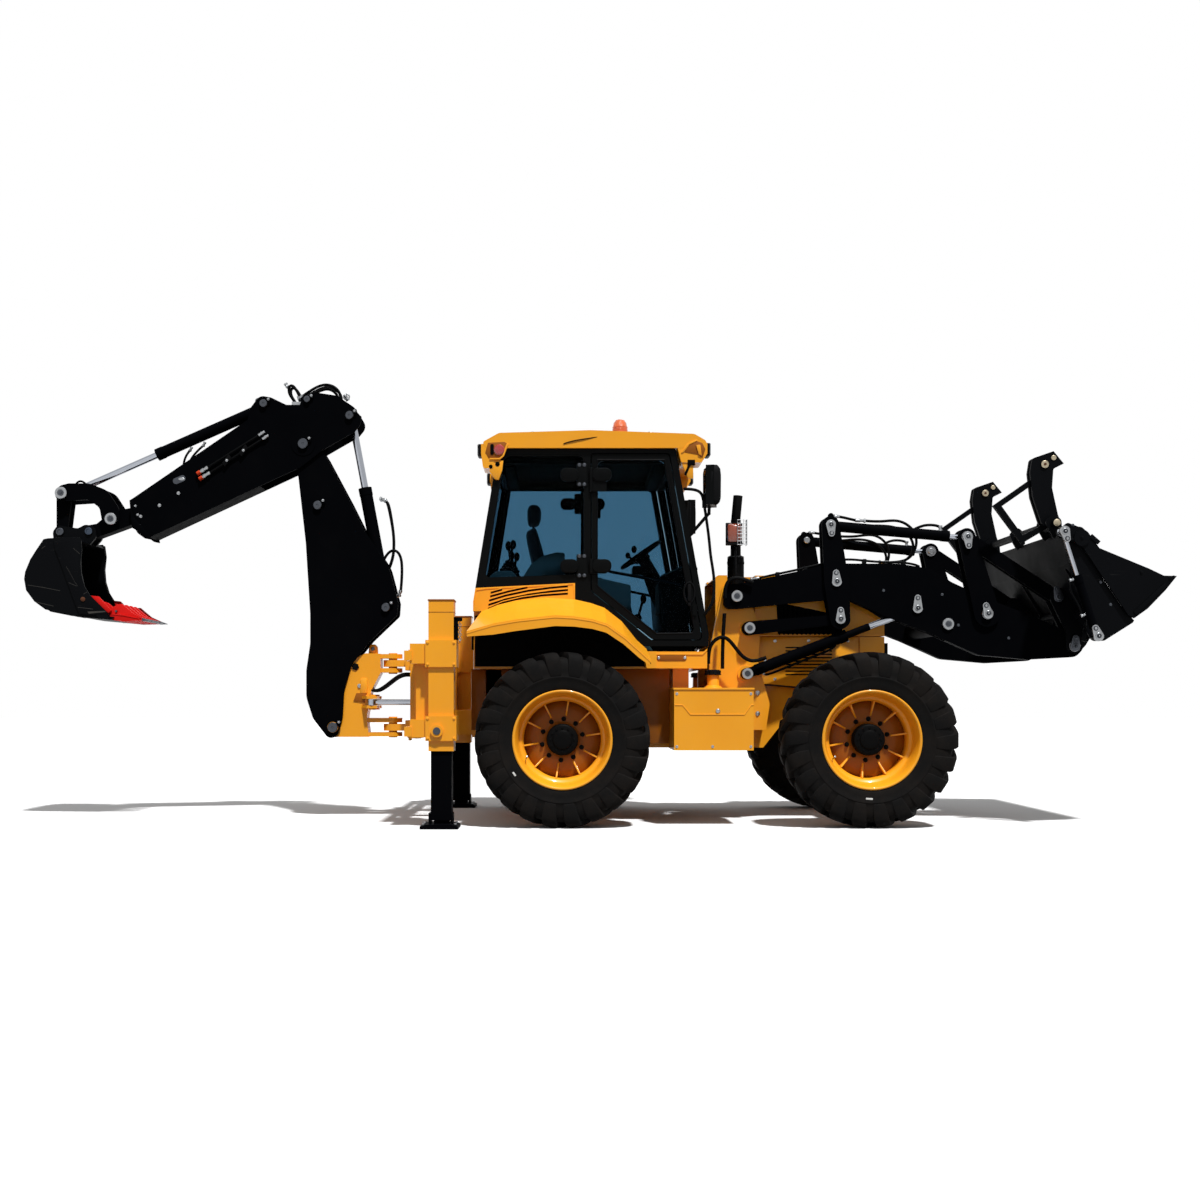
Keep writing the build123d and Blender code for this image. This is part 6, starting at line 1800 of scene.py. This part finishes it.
def post_sides(name, side):
    Shape(side).plate([
        (-1600, 984), (-1600, 1090), (-1588, 1100), (-1552, 1100), (-1545, 1090), (-1545, 984)
    ], 80, 92).piece(f"post_tab_{name}", "swing_post", "machine_yellow", bevel=3)
    # The pocket is painted shade: a dark orange plate where the post's block lies in shade.
    Shape(side).plate([(-1632, 984), (-1552, 984), (-1566, 908), (-1656, 920)], 80, 90).piece(
        f"post_pocket_{name}", "swing_post", "machine_yellow", "painted_shade_yellow", 2
    )
    Shape(side).bolt((-1608, 84, 1042), Y_AXIS, 12, 12).piece(
        f"post_bolt_{name}", "swing_post", "pin_steel", "zinc", 0.6
    )
    Shape(side).turned(
        (BOOM_RAM_BASE[0], 83, BOOM_RAM_BASE[1]), Y_AXIS, [(0, 30), (8, 30), (10, 24), (10, 0)], 6
    ).piece(f"post_pin_{name}", "swing_post", "arm_black", "hub_black", 1)


# Carried-over solids


BUCKETS = ("loader_bucket", "clam", "digger_bucket", "grapple_arms")


def dress_nodes():
    """Every solid that stays gets its finish."""
    for name, node in NODES.items():
        for slot in node.material_slots:
            kind = slot.material.name.split(".")[0]
            slot.material = MORE["bucket_black"] if name in BUCKETS else look(kind)


# Stage, camera and light

CAMERA = (-17, -11650, 929)
LENS = 43.74
SHIFT_X = 40 / 1200
SHIFT_Y = 100 / 1200


def pale_rays(tree):
    """1 for rays from the camera, off a gloss and through glass, which all see the white background."""
    path = tree.nodes.new("ShaderNodeLightPath")
    shown = path.outputs["Is Camera Ray"]
    for ray in ("Is Glossy Ray", "Is Transmission Ray"):
        either = tree.nodes.new("ShaderNodeMath")
        either.operation = "MAXIMUM"
        tree.links.new(shown, either.inputs[0])
        tree.links.new(path.outputs[ray], either.inputs[1])
        shown = either.outputs[0]
    return shown


def stage():
    floor_data = bpy.data.meshes.new("floor")
    size = 60
    floor_data.from_pydata([
        (-size, -size, 0), (size, -size, 0), (size, size, 0), (-size, size, 0)
    ], [], [(0, 1, 2, 3)])
    floor = bpy.data.objects.new("floor", floor_data)
    bpy.context.scene.collection.objects.link(floor)
    n = Nodes("floor_pale")
    shown = pale_rays(n.tree)
    n.set(
        Base_Color=n.mix(shown, (0.18, 0.17, 0.16), (0.90, 0.90, 0.90)), Roughness=0.9,
        Specular_IOR_Level=0.0
    )
    floor_data.materials.append(n.material)


def camera():
    data = bpy.data.cameras.new("camera")
    data.lens = LENS
    data.sensor_width = 36
    data.shift_x = SHIFT_X
    data.shift_y = SHIFT_Y
    data.clip_end = 200
    thing = bpy.data.objects.new("camera", data)
    thing.location = at(*CAMERA)
    thing.rotation_euler = (math.radians(90), 0, 0)
    bpy.context.scene.collection.objects.link(thing)
    bpy.context.scene.camera = thing


def sun(name, direction, strength, angle):
    data = bpy.data.lights.new(name, "SUN")
    data.energy = strength
    data.angle = math.radians(angle)
    thing = bpy.data.objects.new(name, data)
    thing.rotation_euler = Vector(direction).to_track_quat("-Z", "Y").to_euler()
    bpy.context.scene.collection.objects.link(thing)


def light():
    """Noon sun over a white studio that is dimmer towards the floor."""
    sun("key", (-0.20, 0.50, -1.0), 4.1, 3)
    sun("fill", (0.5, 0.9, -0.35), 0.16, 40)
    world = bpy.data.worlds.new("studio")
    bpy.context.scene.world = world
    world.use_nodes = True
    tree = world.node_tree
    background = tree.nodes["Background"]
    place = tree.nodes.new("ShaderNodeTexCoord")
    split = tree.nodes.new("ShaderNodeSeparateXYZ")
    tree.links.new(place.outputs["Generated"], split.inputs[0])
    height = tree.nodes.new("ShaderNodeMapRange")
    for key, value in (("From Min", 0.0), ("From Max", 0.9), ("To Min", 0.05), ("To Max", 0.50)):
        height.inputs[key].default_value = value
    tree.links.new(split.outputs["Z"], height.inputs["Value"])
    shown = pale_rays(tree)
    strength = tree.nodes.new("ShaderNodeMix")
    tree.links.new(shown, strength.inputs[0])
    tree.links.new(height.outputs["Result"], strength.inputs[2])
    strength.inputs[3].default_value = 1.0
    tree.links.new(strength.outputs[0], background.inputs["Strength"])
    background.inputs["Color"].default_value = (1, 1, 1, 1)


dress_nodes()
wheels()
both_sides(roof_sides)
roof_top()
both_sides(doors)
both_sides(cab_shell)
wiper_arms()
seat_pads()
seat_trim()
cab_controls()
both_sides(hood_sides)
hood_front()
both_sides(lower_body)
body_hoses()
loader_pins()
ram_lines()
arm_trim()
claw_trim()
bucket_trim()
clam_lines()
digger_pins()
both_sides(digger_sides)
digger_edge()
digger_hoses()
both_sides(stabilisers)
carriage_trim()
both_sides(post_sides)
stage()
camera()
light()
bpy.context.scene.view_settings.view_transform = "Standard"
